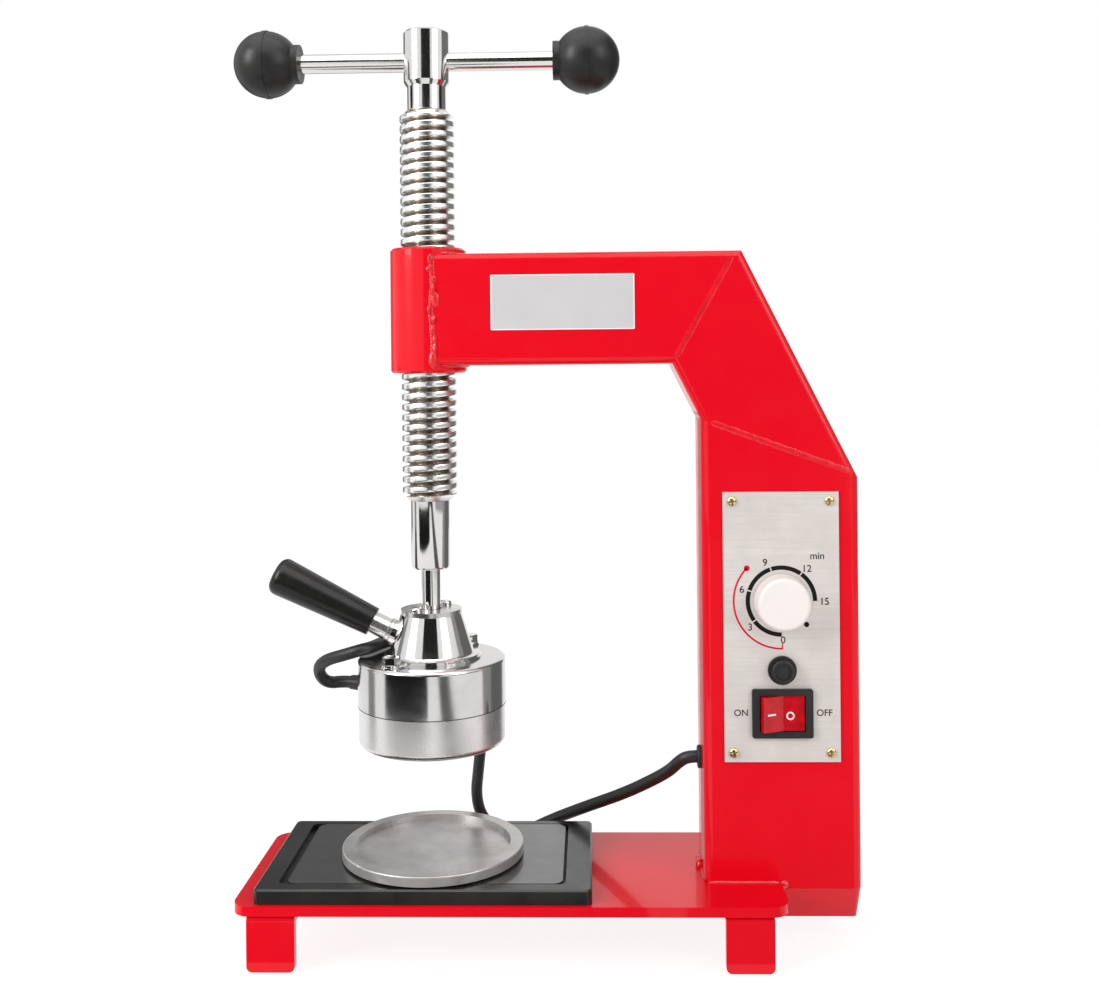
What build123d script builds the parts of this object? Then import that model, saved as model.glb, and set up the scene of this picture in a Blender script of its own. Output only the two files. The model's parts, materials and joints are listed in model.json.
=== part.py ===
"""Screw-clamp bench press with an electrically heated head, for vulcanizing rubber patches.

A welded frame of rectangular tube carries a nut. A coarse-threaded spindle with a ball-ended
bar runs in the nut and pushes a heated head down on a round platen. A timer, a fuse and a
rocker switch sit on a panel in the post, and one black lead runs from the post to the head.

Millimetres, +Z up, -Y towards the user. The origin is on the bench, under the middle of the
press's outline.
"""
import os
from math import cos, pi, radians, sin, tan

from build123d import *

os.makedirs("parts", exist_ok=True)

# ---------------------------------------------------------------- driving dimensions
# Clearances
running_gap = 0.3
slip_gap = 0.2

# Base plate and its four bent feet
base_depth = 100.0
base_thick = 5.0
base_margin = 10.5
base_past_post = 39.0
base_corner = 9.0
foot_height = 28.0
foot_width = 24.0
foot_thick = 4.0
foot_inset = 19.5
foot_edge_gap = 1.0
foot_tab = 22.0
foot_toe_radius = 3.0
foot_bend_radius = 3.5

# Welded frame of rectangular tube
throat = 142.0
frame_depth = 40.0
tube_wall = 2.0
tube_corner = 4.0
post_width = 80.0
post_overlap = 3.0
arm_height = 58.0
arm_clearance = 266.0
elbow_inset = 14.2
elbow_angle = 63.5
end_cap_height = 18.0
end_cap_setback = 9.0

# Nut tube at the end of the arm
nut_diameter = 40.0
nut_length = 65.5
nut_chamfer = 1.2
arm_start = 4.0

# Tray with its inset sheet, and the round platen
tray_width = 168.0
tray_edge = 2.0
tray_thick = 7.4
tray_corner = 3.0
tray_chamfer = 0.8
tray_rim_left = 10.8
tray_rim_right = 13.0
tray_rim_front = 7.6
tray_rim_back = 5.0
tray_pocket = 3.2
tray_pocket_corner = 3.5
inset_gap_left = 4.1
inset_gap_right = 1.6
inset_gap_side = 0.7
inset_corner = 5.0
platen_margin = 0.2
platen_thick = 5.0
platen_foot = 1.2
platen_foot_diameter = 70.0
platen_recess_diameter = 82.0
platen_recess = 3.0
platen_edge = 0.8
platen_bolt_diameter = 6.0
platen_bolt_bite = 2.5
platen_bolt_flats = 10.0
platen_bolt_head = 4.0

# Spindle, its hub and its bar
work_gap = 53.5
thread_diameter = 29.0
thread_length = 206.3
spindle_end_diameter = 20.4
spindle_end_length = 36.2
spindle_end_edge = 1.5
neck_diameter = 20.6
neck_length = 12.4
hub_diameter = 24.2
hub_length = 29.5
hub_foot_chamfer = 2.6
hub_top_chamfer = 1.0
hub_stub_diameter = 12.0
hub_stub_length = 5.0
bar_diameter = 10.0
bar_height = 13.5
ball_offset = 85.0
ball_diameter = 35.0
ball_collar_diameter = 20.5
ball_collar_length = 4.0
ball_collar_offset = 67.2
ball_grip = 12.0
ball_ridge_width = 2.2
ball_ridge_height = 0.35

# Pin that hangs the head on the spindle
pin_diameter = 9.9
pin_exposed = 21.3
pin_grip = 12.0
pin_flange_diameter = 19.2
washer_diameter = 18.0
washer_thick = 2.0
washer_bore = 6.0

# Heated head
head_diameter = 78.0
plate_diameter = 77.0
plate_thick = 20.7
plate_edge = 3.0
spigot_height = 3.0
cover_height = 24.4
cover_wall = 1.5
cover_edge = 2.0
wire_hole_diameter = 16.0
element_diameter = 50.0
element_thick = 1.6
clamp_diameter = 74.0
clamp_thick = 3.0
insulation_diameter = 74.0
insulation_thick = 12.0
thermostat_diameter = 15.0
thermostat_height = 6.0
thermostat_offset = 14.0

# Cone on top of the head
cone_foot_diameter = 53.0
cone_foot_thick = 0.9
cone_step_diameter = 50.4
cone_step_thick = 0.9
cone_ledge = 2.6
cone_top_diameter = 32.2
cone_height = 20.9
cone_flare = 2.0
cone_socket_diameter = 20.0
cone_socket_depth = 10.0
cone_hollow_diameter = 30.0
cone_hollow_depth = 6.0
cap_thick = 2.5
cap_hole_diameter = 11.0
cap_screw_circle = 24.4
cap_screw_diameter = 3.0
cap_screw_head = 6.2
cap_screw_head_height = 2.4
cap_screw_length = 8.0
lug_circle = 65.0
lug_radius = 5.4
lug_angle = 238.0
head_bolt_diameter = 5.0
head_bolt_flats = 8.0
head_bolt_head = 3.6
head_washer_diameter = 10.0
head_washer_thick = 1.0

# Handle of the head
handle_angle = 26.5
handle_drop = 10.5
handle_bite = 4.0
handle_rod_diameter = 11.6
handle_boss_diameter = 14.0
handle_boss_length = 1.6
handle_collar_diameter = 13.2
handle_collar_length = 2.6
handle_collar_edge = 0.5
handle_grip_start = 13.4
handle_grip_length = 58.0
handle_grip_near = 15.2
handle_grip_far = 20.6
handle_grip_dome = 4.5
handle_rod_in_grip = 30.0

# Control panel
panel_width = 59.0
panel_height = 138.0
panel_thick = 1.0
panel_centre = 131.0
panel_screw_inset = 4.7
panel_screw_diameter = 3.0
panel_screw_head = 5.0
panel_screw_head_height = 1.6
panel_screw_length = 6.0
window_width = 44.0
window_height = 118.0

# Timer
timer_rise = 13.2
timer_width = 36.0
timer_depth = 22.0
timer_shaft_diameter = 6.0
timer_shaft_in_body = 8.0
timer_shaft_hole = 8.0
knob_diameter = 28.0
knob_front_diameter = 26.4
knob_height = 11.0
knob_gap = 0.8
knob_edge = 2.0
knob_wall = 4.0

# Fuse holder
fuse_drop = 22.0
fuse_flange_diameter = 14.6
fuse_flange_thick = 1.5
fuse_barrel_diameter = 11.6
fuse_barrel_depth = 27.0
fuse_socket_diameter = 9.4
fuse_socket_depth = 3.5
fuse_bore = 5.8
fuse_bore_depth = 24.0
fuse_cap_diameter = 11.4
fuse_cap_height = 3.6
fuse_cap_step_diameter = 8.4
fuse_cap_step = 1.0
fuse_link_diameter = 5.0
fuse_link_length = 20.0
fuse_link_end = 5.0
fuse_link_end_diameter = 5.2

# Rocker switch
switch_drop = 44.0
bezel_width = 31.0
bezel_height = 25.0
bezel_thick = 1.8
bezel_corner = 1.2
switch_body_width = 27.0
switch_body_height = 22.0
switch_body_depth = 17.0
switch_well_width = 23.4
switch_well_height = 18.4
switch_well_depth = 10.0
rocker_half_angle = 12.0
rocker_radius = 11.3
rocker_reach = 10.6
rocker_pivot_depth = 2.6
rocker_pin_diameter = 3.0
rocker_pin_bite = 1.2
rocker_tail = 6.0

# Cord bushes and the cord
cord_diameter = 6.5
cord_lead_out = 5.0
grommet_height = 58.5
grommet_diameter = 12.0
grommet_flange = 2.0
grommet_neck = 9.0
mains_height = 32.0
mains_flange_diameter = 18.0
mains_flange = 3.0
mains_neck = 12.0
mains_nose_length = 13.0
mains_nose_diameter = 10.0
mains_bore = 7.0
mains_bore_depth = 2.0
head_gland_angle = 160.0
head_gland_rise = 6.3
head_gland_diameter = 9.0
head_gland_tip = 7.6
head_gland_length = 10.0
head_gland_neck = 7.0

# ---------------------------------------------------------------- places worked out from them
spindle_x = (ball_offset + ball_diameter / 2 - throat - post_width) / 2
post_left = spindle_x + throat
post_right = post_left + post_width
post_x = (post_left + post_right) / 2
frame_half = frame_depth / 2
frame_front = -frame_half

base_bottom = foot_height
base_top = base_bottom + base_thick
base_left = spindle_x - tray_width / 2 - base_margin
base_right = post_left + base_past_post
base_x = (base_left + base_right) / 2
base_width = base_right - base_left

arm_bottom = base_top + arm_clearance
arm_top = arm_bottom + arm_height
arm_mid = (arm_bottom + arm_top) / 2
post_bottom = base_top - post_overlap

tray_depth = base_depth - 2 * tray_edge
platen_diameter = tray_depth - 2 * platen_margin
tray_top = base_top + tray_thick
tray_left = spindle_x - tray_width / 2
pocket_left = tray_left + tray_rim_left
pocket_right = tray_left + tray_width - tray_rim_right
pocket_front = tray_rim_front - tray_depth / 2
pocket_back = tray_depth / 2 - tray_rim_back
inset_bottom = tray_top - tray_pocket
platen_bottom = tray_top + platen_foot
platen_top = platen_bottom + platen_thick

plate_bottom = platen_top + work_gap
plate_top = plate_bottom + plate_thick
cover_top = plate_top + cover_height
foot_top = cover_top + cone_foot_thick
step_top = foot_top + cone_step_thick
cone_top = step_top + cone_height
cap_top = cone_top + cap_thick
spindle_bottom = cap_top + pin_exposed
thread_bottom = spindle_bottom + spindle_end_length
thread_top = thread_bottom + thread_length
hub_bottom = thread_top + neck_length
hub_top = hub_bottom + hub_length
bar_z = hub_bottom + bar_height

panel_z = base_top + panel_centre
panel_front = frame_front - panel_thick
timer_z = panel_z + timer_rise
fuse_z = panel_z - fuse_drop
switch_z = panel_z - switch_drop
cover_radius = head_diameter / 2
cone_base_diameter = cone_step_diameter - 2 * cone_ledge


def at(x, y, z):
    """A level sketch plane whose origin is x, y, z."""
    return Plane(origin=(x, y, z))


def facing(x, y, z):
    """An upright sketch plane that looks at the user, with its x to the right."""
    return Plane(origin=(x, y, z), x_dir=(1, 0, 0), z_dir=(0, -1, 0))


def save(piece, name):
    """Labels a finished piece and writes its own file."""
    piece.part.label = name
    export_step(piece.part, f"parts/{name}.step")


# ---------------------------------------------------------------- base plate
# Flat plate with rounded corners. The post stands in a notch in its right end.
with BuildPart() as base_plate:
    with BuildSketch(at(base_x, 0, base_bottom)):
        RectangleRounded(base_width, base_depth, base_corner)
    extrude(amount=base_thick)
    with BuildSketch(at(post_left, 0, base_bottom)):
        Rectangle(2 * base_past_post, frame_depth, align=(Align.MIN, Align.CENTER))
    extrude(amount=base_thick, mode=Mode.SUBTRACT)
    with Locations((spindle_x, 0, base_top)):
        Hole(platen_bolt_diameter / 2, base_thick)
save(base_plate, "base_plate")

# ---------------------------------------------------------------- feet
# Each foot is a piece of flat bar bent to an L: a tab welded under the plate, and a leg.
foot_outer = base_depth / 2 - foot_edge_gap
for foot_name, foot_x, side in (
    ("front_left_foot", base_left + foot_inset, -1),
    ("front_right_foot", base_right - foot_inset, -1),
    ("back_left_foot", base_left + foot_inset, 1),
    ("back_right_foot", base_right - foot_inset, 1),
):
    leg_face = side * foot_outer
    with BuildPart() as foot:
        with BuildSketch(at(foot_x, leg_face - side * foot_thick / 2, 0)):
            Rectangle(foot_width, foot_thick)
        extrude(amount=foot_height)
        with BuildSketch(at(foot_x, leg_face - side * foot_tab / 2, foot_height - foot_thick)):
            Rectangle(foot_width, foot_tab)
        extrude(amount=foot_thick)
        toes = foot.edges().filter_by(Axis.Y).group_by(Axis.Z)[0]
        fillet(toes, foot_toe_radius)
        bend = foot.edges().filter_by(Axis.X).group_by(Axis.Z)[-1].sort_by(Axis.Y)
        fillet(bend[0] if side < 0 else bend[-1], foot_bend_radius)
    save(foot, foot_name)

# ---------------------------------------------------------------- frame of rectangular tube
# The elbow leans between the post and the arm, and all three are cut on mitres.
elbow_slope = radians(elbow_angle)
inner_top = Vector(post_left - elbow_inset, 0, arm_bottom)
inner_low = Vector(post_left, 0, arm_bottom - elbow_inset * tan(elbow_slope))
elbow_normal = Vector(sin(elbow_slope), 0, cos(elbow_slope))
outer_reach = elbow_normal.dot(inner_top) + arm_height
outer_top = Vector((outer_reach - arm_top * cos(elbow_slope)) / sin(elbow_slope), 0, arm_top)
outer_low = Vector(
    post_right, 0, (outer_reach - post_right * sin(elbow_slope)) / cos(elbow_slope)
)
elbow_along = Vector(-cos(elbow_slope), 0, sin(elbow_slope))
tube_inner_corner = tube_corner - tube_wall


def mitre(inner, outer):
    """The upright plane through two corners, with its front towards the arm."""
    across = outer - inner
    return Plane(origin=inner, x_dir=across, z_dir=Vector(0, -1, 0).cross(across))


def tube_section(width):
    """The wall of the frame's tube, drawn in the sketch that is open."""
    RectangleRounded(width, frame_depth, tube_corner)
    RectangleRounded(
        width - 2 * tube_wall, frame_depth - 2 * tube_wall, tube_inner_corner, mode=Mode.SUBTRACT
    )


upper_mitre = mitre(inner_top, outer_top)
lower_mitre = mitre(inner_low, outer_low)

with BuildPart() as post:
    with BuildSketch(at(post_x, 0, post_bottom)):
        tube_section(post_width)
    extrude(amount=arm_top - post_bottom)
    split(bisect_by=lower_mitre, keep=Keep.BOTTOM)
    with BuildSketch(facing(post_x, frame_front + tube_wall, panel_z)):
        Rectangle(window_width, window_height)
        with GridLocations(
            panel_width - 2 * panel_screw_inset, panel_height - 2 * panel_screw_inset, 2, 2
        ):
            Circle(panel_screw_diameter / 2)
    extrude(amount=tube_wall, mode=Mode.SUBTRACT)
    with BuildSketch(Plane(origin=(post_left, 0, base_top + grommet_height), z_dir=(1, 0, 0))):
        Circle(grommet_neck / 2)
    extrude(amount=tube_wall, mode=Mode.SUBTRACT)
    with BuildSketch(facing(post_x, frame_half, base_top + mains_height)):
        Circle(mains_neck / 2)
    extrude(amount=tube_wall, mode=Mode.SUBTRACT)
save(post, "post")

# Closed foot of the post, with a sloping front and back.
with BuildPart() as post_end_cap:
    with BuildSketch(at(post_x, 0, post_bottom)):
        RectangleRounded(post_width, frame_depth, tube_corner)
    with BuildSketch(at(post_x, 0, post_bottom - end_cap_height)):
        RectangleRounded(
            post_width - tube_wall, frame_depth - 2 * end_cap_setback, tube_inner_corner
        )
    loft()
save(post_end_cap, "post_end_cap")

elbow_length = (outer_low - inner_top).length + arm_height
elbow_centre = inner_top + elbow_normal * (arm_height / 2)
with BuildPart() as elbow:
    with BuildSketch(Plane(origin=elbow_centre, x_dir=elbow_normal, z_dir=elbow_along)):
        tube_section(arm_height)
    extrude(amount=elbow_length, both=True)
    split(bisect_by=upper_mitre, keep=Keep.BOTTOM)
    split(bisect_by=lower_mitre, keep=Keep.TOP)
save(elbow, "elbow")

with BuildPart() as arm:
    with BuildSketch(
        Plane(origin=(spindle_x + arm_start, 0, arm_mid), x_dir=(0, 0, 1), z_dir=(1, 0, 0))
    ):
        tube_section(arm_height)
    extrude(amount=post_right - spindle_x)
    split(bisect_by=upper_mitre, keep=Keep.TOP)
    with BuildSketch(at(spindle_x, 0, arm_bottom)):
        Circle(nut_diameter / 2)
    extrude(amount=arm_height, mode=Mode.SUBTRACT)
save(arm, "arm")

with BuildPart() as spindle_nut:
    with BuildSketch(at(spindle_x, 0, arm_mid)):
        Circle(nut_diameter / 2)
        Circle(thread_diameter / 2 + running_gap, mode=Mode.SUBTRACT)
    extrude(amount=nut_length / 2, both=True)
    rims = spindle_nut.edges().filter_by(GeomType.CIRCLE).sort_by(SortBy.RADIUS)[-2:]
    chamfer(rims, nut_chamfer)
save(spindle_nut, "spindle_nut")

# ---------------------------------------------------------------- tray, inset sheet and platen
pocket_x = (pocket_left + pocket_right) / 2
pocket_y = (pocket_front + pocket_back) / 2
with BuildPart() as tray_frame:
    with BuildSketch(at(spindle_x, 0, base_top)):
        RectangleRounded(tray_width, tray_depth, tray_corner)
    extrude(amount=tray_thick)
    chamfer(tray_frame.faces().sort_by(Axis.Z)[-1].edges(), tray_chamfer)
    with BuildSketch(at(pocket_x, pocket_y, tray_top)):
        RectangleRounded(pocket_right - pocket_left, pocket_back - pocket_front, tray_pocket_corner)
    extrude(amount=-tray_pocket, mode=Mode.SUBTRACT)
    with Locations((spindle_x, 0, tray_top)):
        Hole(platen_bolt_diameter / 2, tray_thick)
save(tray_frame, "tray_frame")

inset_left = pocket_left + inset_gap_left
inset_right = pocket_right - inset_gap_right
with BuildPart() as tray_inset:
    with BuildSketch(at((inset_left + inset_right) / 2, pocket_y, inset_bottom)):
        RectangleRounded(
            inset_right - inset_left, pocket_back - pocket_front - 2 * inset_gap_side, inset_corner
        )
    extrude(amount=tray_pocket)
    with Locations((spindle_x, 0, tray_top)):
        Hole(platen_bolt_diameter / 2, tray_pocket)
save(tray_inset, "tray_inset")

with BuildPart() as lower_platen:
    with BuildSketch(at(spindle_x, 0, tray_top)):
        Circle(platen_foot_diameter / 2)
    extrude(amount=platen_foot)
    with BuildSketch(at(spindle_x, 0, platen_bottom)):
        Circle(platen_diameter / 2)
    extrude(amount=platen_thick)
    with BuildSketch(at(spindle_x, 0, platen_top)):
        Circle(platen_recess_diameter / 2)
    extrude(amount=-platen_recess, mode=Mode.SUBTRACT)
    rim = lower_platen.faces().sort_by(Axis.Z)[-1].edges().sort_by(SortBy.RADIUS)[-1]
    fillet(rim, platen_edge)
    with BuildSketch(at(spindle_x, 0, tray_top)):
        Circle(platen_bolt_diameter / 2)
    extrude(amount=platen_bolt_bite, mode=Mode.SUBTRACT)
save(lower_platen, "lower_platen")

with BuildPart() as platen_bolt:
    with BuildSketch(at(spindle_x, 0, base_bottom - platen_bolt_head)):
        RegularPolygon(platen_bolt_flats / 2, 6, major_radius=False)
    extrude(amount=platen_bolt_head)
    with BuildSketch(at(spindle_x, 0, base_bottom)):
        Circle(platen_bolt_diameter / 2)
    extrude(amount=tray_top + platen_bolt_bite - base_bottom)
save(platen_bolt, "platen_bolt")

# ---------------------------------------------------------------- spindle
# One turned bar: smooth lower end, thread, neck, and a stub that the hub is pressed on.
pin_top = spindle_bottom + pin_grip
with BuildPart() as spindle:
    with BuildSketch(Plane(origin=(spindle_x, 0, 0), x_dir=(1, 0, 0), z_dir=(0, -1, 0))):
        with BuildLine():
            Polyline(
                (0, pin_top + slip_gap),
                (pin_diameter / 2 + slip_gap, pin_top + slip_gap),
                (pin_diameter / 2 + slip_gap, spindle_bottom),
                (spindle_end_diameter / 2 - spindle_end_edge, spindle_bottom),
                (spindle_end_diameter / 2, spindle_bottom + spindle_end_edge),
                (spindle_end_diameter / 2, thread_bottom),
                (thread_diameter / 2, thread_bottom),
                (thread_diameter / 2, thread_top),
                (neck_diameter / 2, thread_top),
                (neck_diameter / 2, hub_bottom),
                (hub_stub_diameter / 2, hub_bottom),
                (hub_stub_diameter / 2, hub_bottom + hub_stub_length),
                (0, hub_bottom + hub_stub_length),
                close=True,
            )
        make_face()
    revolve(axis=Axis((spindle_x, 0, 0), (0, 0, 1)))
save(spindle, "spindle")

with BuildPart() as spindle_hub:
    with BuildSketch(at(spindle_x, 0, hub_bottom)):
        Circle(hub_diameter / 2)
    extrude(amount=hub_length)
    chamfer(
        spindle_hub.faces().sort_by(Axis.Z)[0].edges(),
        hub_foot_chamfer,
        (hub_diameter - neck_diameter) / 2,
        reference=spindle_hub.faces().filter_by(GeomType.CYLINDER)[0],
    )
    chamfer(spindle_hub.faces().sort_by(Axis.Z)[-1].edges(), hub_top_chamfer)
    with BuildSketch(at(spindle_x, 0, hub_bottom)):
        Circle(hub_stub_diameter / 2)
    extrude(amount=hub_stub_length, mode=Mode.SUBTRACT)
    with BuildSketch(Plane(origin=(spindle_x, 0, bar_z), z_dir=(1, 0, 0))):
        Circle(bar_diameter / 2)
    extrude(amount=hub_diameter, both=True, mode=Mode.SUBTRACT)
save(spindle_hub, "spindle_hub")

bar_half = ball_offset - ball_diameter / 2 + ball_grip
with BuildPart() as tommy_bar:
    with BuildSketch(Plane(origin=(spindle_x, 0, bar_z), z_dir=(1, 0, 0))):
        Circle(bar_diameter / 2)
    extrude(amount=bar_half, both=True)
save(tommy_bar, "tommy_bar")

# Moulded ball knobs: a ball, a short collar, and the thin ridge where the mould closed.
collar_reach = ball_offset - ball_collar_offset
for knob_name, side in (("left_ball_knob", -1), ("right_ball_knob", 1)):
    ball_x = spindle_x + side * ball_offset
    with BuildPart() as ball_knob:
        with BuildSketch(Plane(origin=(ball_x, 0, bar_z), x_dir=(side, 0, 0), z_dir=(0, -side, 0))):
            Circle(ball_diameter / 2)
            Rectangle(ball_ridge_width, ball_diameter + 2 * ball_ridge_height)
            with Locations((-collar_reach, 0)):
                Rectangle(
                    ball_collar_length, ball_collar_diameter, align=(Align.MIN, Align.CENTER)
                )
            with Locations((-collar_reach, 0)):
                Rectangle(
                    bar_half - ball_collar_offset,
                    bar_diameter,
                    align=(Align.MIN, Align.CENTER),
                    mode=Mode.SUBTRACT,
                )
            Rectangle(
                2 * ball_diameter,
                ball_diameter,
                align=(Align.CENTER, Align.MAX),
                mode=Mode.SUBTRACT,
            )
        revolve(axis=Axis((ball_x, 0, bar_z), (1, 0, 0)))
    save(ball_knob, knob_name)

# ---------------------------------------------------------------- pin and washer under the spindle
socket_floor = cone_top - cone_socket_depth
flange_bottom = socket_floor + washer_thick + running_gap
flange_top = cone_top - running_gap
with BuildPart() as swivel_pin:
    with BuildSketch(at(spindle_x, 0, flange_bottom)):
        Circle(pin_flange_diameter / 2)
    extrude(amount=flange_top - flange_bottom)
    with BuildSketch(at(spindle_x, 0, flange_top)):
        Circle(pin_diameter / 2)
    extrude(amount=pin_top - flange_top)
save(swivel_pin, "swivel_pin")

with BuildPart() as thrust_washer:
    with BuildSketch(at(spindle_x, 0, socket_floor)):
        Circle(washer_diameter / 2)
        Circle(washer_bore / 2, mode=Mode.SUBTRACT)
    extrude(amount=washer_thick)
save(thrust_washer, "thrust_washer")

# ---------------------------------------------------------------- cone of the head
# A turned and polished cone on a stepped foot with two bolt lugs. The pin's flange sits in its
# socket, under the cap.
cone_slope = (cone_base_diameter - cone_top_diameter) / 2 / cone_height
handle_slope = radians(handle_angle)
handle_z = cone_top - handle_drop
handle_x = spindle_x - cone_top_diameter / 2 - handle_drop * cone_slope
handle_out = Vector(-cos(handle_slope), 0, sin(handle_slope))
handle_root = Vector(handle_x, 0, handle_z)


def along_handle(distance):
    """A sketch plane across the handle, at a distance out from the cone's flank."""
    return Plane(origin=handle_root + handle_out * distance, x_dir=(0, 1, 0), z_dir=handle_out)


with BuildPart() as head_cone:
    with BuildSketch(Plane(origin=(spindle_x, 0, 0), x_dir=(1, 0, 0), z_dir=(0, -1, 0))):
        with BuildLine():
            Polyline(
                (cone_hollow_diameter / 2, cover_top),
                (cone_foot_diameter / 2, cover_top),
                (cone_foot_diameter / 2, foot_top),
                (cone_step_diameter / 2, foot_top),
                (cone_step_diameter / 2, step_top),
                (cone_base_diameter / 2, step_top),
                (cone_top_diameter / 2, cone_top),
                (cone_socket_diameter / 2, cone_top),
                (cone_socket_diameter / 2, socket_floor),
                (0, socket_floor),
                (0, cover_top + cone_hollow_depth),
                (cone_hollow_diameter / 2, cover_top + cone_hollow_depth),
                close=True,
            )
        make_face()
    revolve(axis=Axis((spindle_x, 0, 0), (0, 0, 1)))
    waist = head_cone.edges().filter_by(GeomType.CIRCLE).filter_by(
        lambda edge: abs(edge.radius - cone_base_diameter / 2) < 0.01
    )
    fillet(waist, cone_flare)
    with BuildSketch(along_handle(0)):
        Circle(handle_boss_diameter / 2)
    extrude(amount=handle_boss_length)
    with BuildSketch(along_handle(0)):
        Circle(handle_boss_diameter / 2)
    extrude(amount=-handle_bite)
    with BuildSketch(at(spindle_x, 0, cover_top)):
        with PolarLocations(lug_circle / 2, 2, start_angle=lug_angle):
            Circle(lug_radius)
            Rectangle(lug_circle / 2, 2 * lug_radius, align=(Align.MAX, Align.CENTER))
        Circle(cone_hollow_diameter / 2, mode=Mode.SUBTRACT)
    extrude(amount=cone_foot_thick)
    with BuildSketch(along_handle(-handle_bite)):
        Circle(handle_rod_diameter / 2)
    extrude(amount=handle_bite + 2 * handle_boss_length, mode=Mode.SUBTRACT)
    with BuildSketch(at(spindle_x, 0, cover_top)):
        with PolarLocations(lug_circle / 2, 2, start_angle=lug_angle):
            Circle(head_bolt_diameter / 2 + slip_gap)
    extrude(amount=cone_foot_thick, mode=Mode.SUBTRACT)
    with BuildSketch(at(spindle_x, 0, cone_top)):
        with PolarLocations(cap_screw_circle / 2, 2, start_angle=lug_angle):
            Circle(cap_screw_diameter / 2)
    extrude(amount=-(cap_screw_length - cap_thick), mode=Mode.SUBTRACT)
save(head_cone, "head_cone")

with BuildPart() as cone_cap:
    with BuildSketch(at(spindle_x, 0, cone_top)):
        Circle(cone_top_diameter / 2)
        Circle(cap_hole_diameter / 2, mode=Mode.SUBTRACT)
        with PolarLocations(cap_screw_circle / 2, 2, start_angle=lug_angle):
            Circle(cap_screw_diameter / 2, mode=Mode.SUBTRACT)
    extrude(amount=cap_thick)
save(cone_cap, "cone_cap")

with BuildPart() as cap_screws:
    with BuildSketch(at(spindle_x, 0, cap_top)):
        with PolarLocations(cap_screw_circle / 2, 2, start_angle=lug_angle):
            Circle(cap_screw_head / 2)
    extrude(amount=cap_screw_head_height)
    fillet(cap_screws.edges().group_by(Axis.Z)[-1], cap_screw_head_height * 0.6)
    with BuildSketch(at(spindle_x, 0, cap_top)):
        with PolarLocations(cap_screw_circle / 2, 2, start_angle=lug_angle):
            Circle(cap_screw_diameter / 2)
    extrude(amount=-cap_screw_length)
save(cap_screws, "cap_screws")

# ---------------------------------------------------------------- handle
with BuildPart() as handle_rod:
    with BuildSketch(along_handle(-handle_bite)):
        Circle(handle_rod_diameter / 2)
    extrude(amount=handle_bite + handle_grip_start + handle_rod_in_grip)
save(handle_rod, "handle_rod")

with BuildPart() as handle_collar:
    with BuildSketch(along_handle(handle_boss_length)):
        Circle(handle_collar_diameter / 2)
        Circle(handle_rod_diameter / 2, mode=Mode.SUBTRACT)
    extrude(amount=handle_collar_length)
    collar_rims = handle_collar.edges().filter_by(GeomType.CIRCLE).sort_by(SortBy.RADIUS)[-2:]
    chamfer(collar_rims, handle_collar_edge)
save(handle_collar, "handle_collar")

# The grip swells away from the head and ends in a low dome.
with BuildPart() as handle_grip:
    with BuildSketch(along_handle(handle_grip_start)):
        Circle(handle_grip_near / 2)
    with BuildSketch(along_handle(handle_grip_start + handle_grip_length)):
        Circle(handle_grip_far / 2)
    loft()
    far_edge = handle_grip.edges().filter_by(GeomType.CIRCLE).sort_by(SortBy.RADIUS)[-1]
    fillet(far_edge, handle_grip_dome)
    with BuildSketch(along_handle(handle_grip_start)):
        Circle(handle_rod_diameter / 2)
    extrude(amount=handle_rod_in_grip, mode=Mode.SUBTRACT)
save(handle_grip, "handle_grip")

# ---------------------------------------------------------------- heated head
gland_turn = radians(head_gland_angle)
gland_out = Vector(cos(gland_turn), sin(gland_turn), 0)
gland_z = plate_top + head_gland_rise


def along_gland(radius):
    """A sketch plane across the head's cord bush, at a radius from the spindle's axis."""
    return Plane(origin=Vector(spindle_x, 0, gland_z) + gland_out * radius, z_dir=gland_out)


with BuildPart() as head_cover:
    with BuildSketch(at(spindle_x, 0, plate_top)):
        Circle(cover_radius)
    extrude(amount=cover_height)
    fillet(head_cover.faces().sort_by(Axis.Z)[-1].edges(), cover_edge)
    with BuildSketch(at(spindle_x, 0, plate_top)):
        Circle(cover_radius - cover_wall)
    extrude(amount=cover_height - cover_wall, mode=Mode.SUBTRACT)
    with BuildSketch(at(spindle_x, 0, cover_top)):
        Circle(wire_hole_diameter / 2)
        with PolarLocations(lug_circle / 2, 2, start_angle=lug_angle):
            Circle(head_bolt_diameter / 2 + slip_gap)
    extrude(amount=-cover_wall, mode=Mode.SUBTRACT)
    with BuildSketch(along_gland(cover_radius)):
        Circle(head_gland_neck / 2)
    extrude(amount=2 * cover_wall, both=True, mode=Mode.SUBTRACT)
save(head_cover, "head_cover")

spigot_top = plate_top + spigot_height
element_top = spigot_top + element_thick
clamp_top = element_top + clamp_thick
with BuildPart() as heating_plate:
    with BuildSketch(at(spindle_x, 0, plate_bottom)):
        Circle(plate_diameter / 2)
    extrude(amount=plate_thick)
    fillet(heating_plate.faces().sort_by(Axis.Z)[0].edges(), plate_edge)
    with BuildSketch(at(spindle_x, 0, plate_top)):
        Circle(cover_radius - cover_wall - slip_gap)
    extrude(amount=spigot_height)
    with BuildSketch(at(spindle_x, 0, spigot_top)):
        with PolarLocations(lug_circle / 2, 2, start_angle=lug_angle):
            Circle(head_bolt_diameter / 2)
    extrude(amount=-plate_thick / 2, mode=Mode.SUBTRACT)
save(heating_plate, "heating_plate")

with BuildPart() as heater_element:
    with BuildSketch(at(spindle_x, 0, spigot_top)):
        Circle(element_diameter / 2)
    extrude(amount=element_thick)
save(heater_element, "heater_element")

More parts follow.
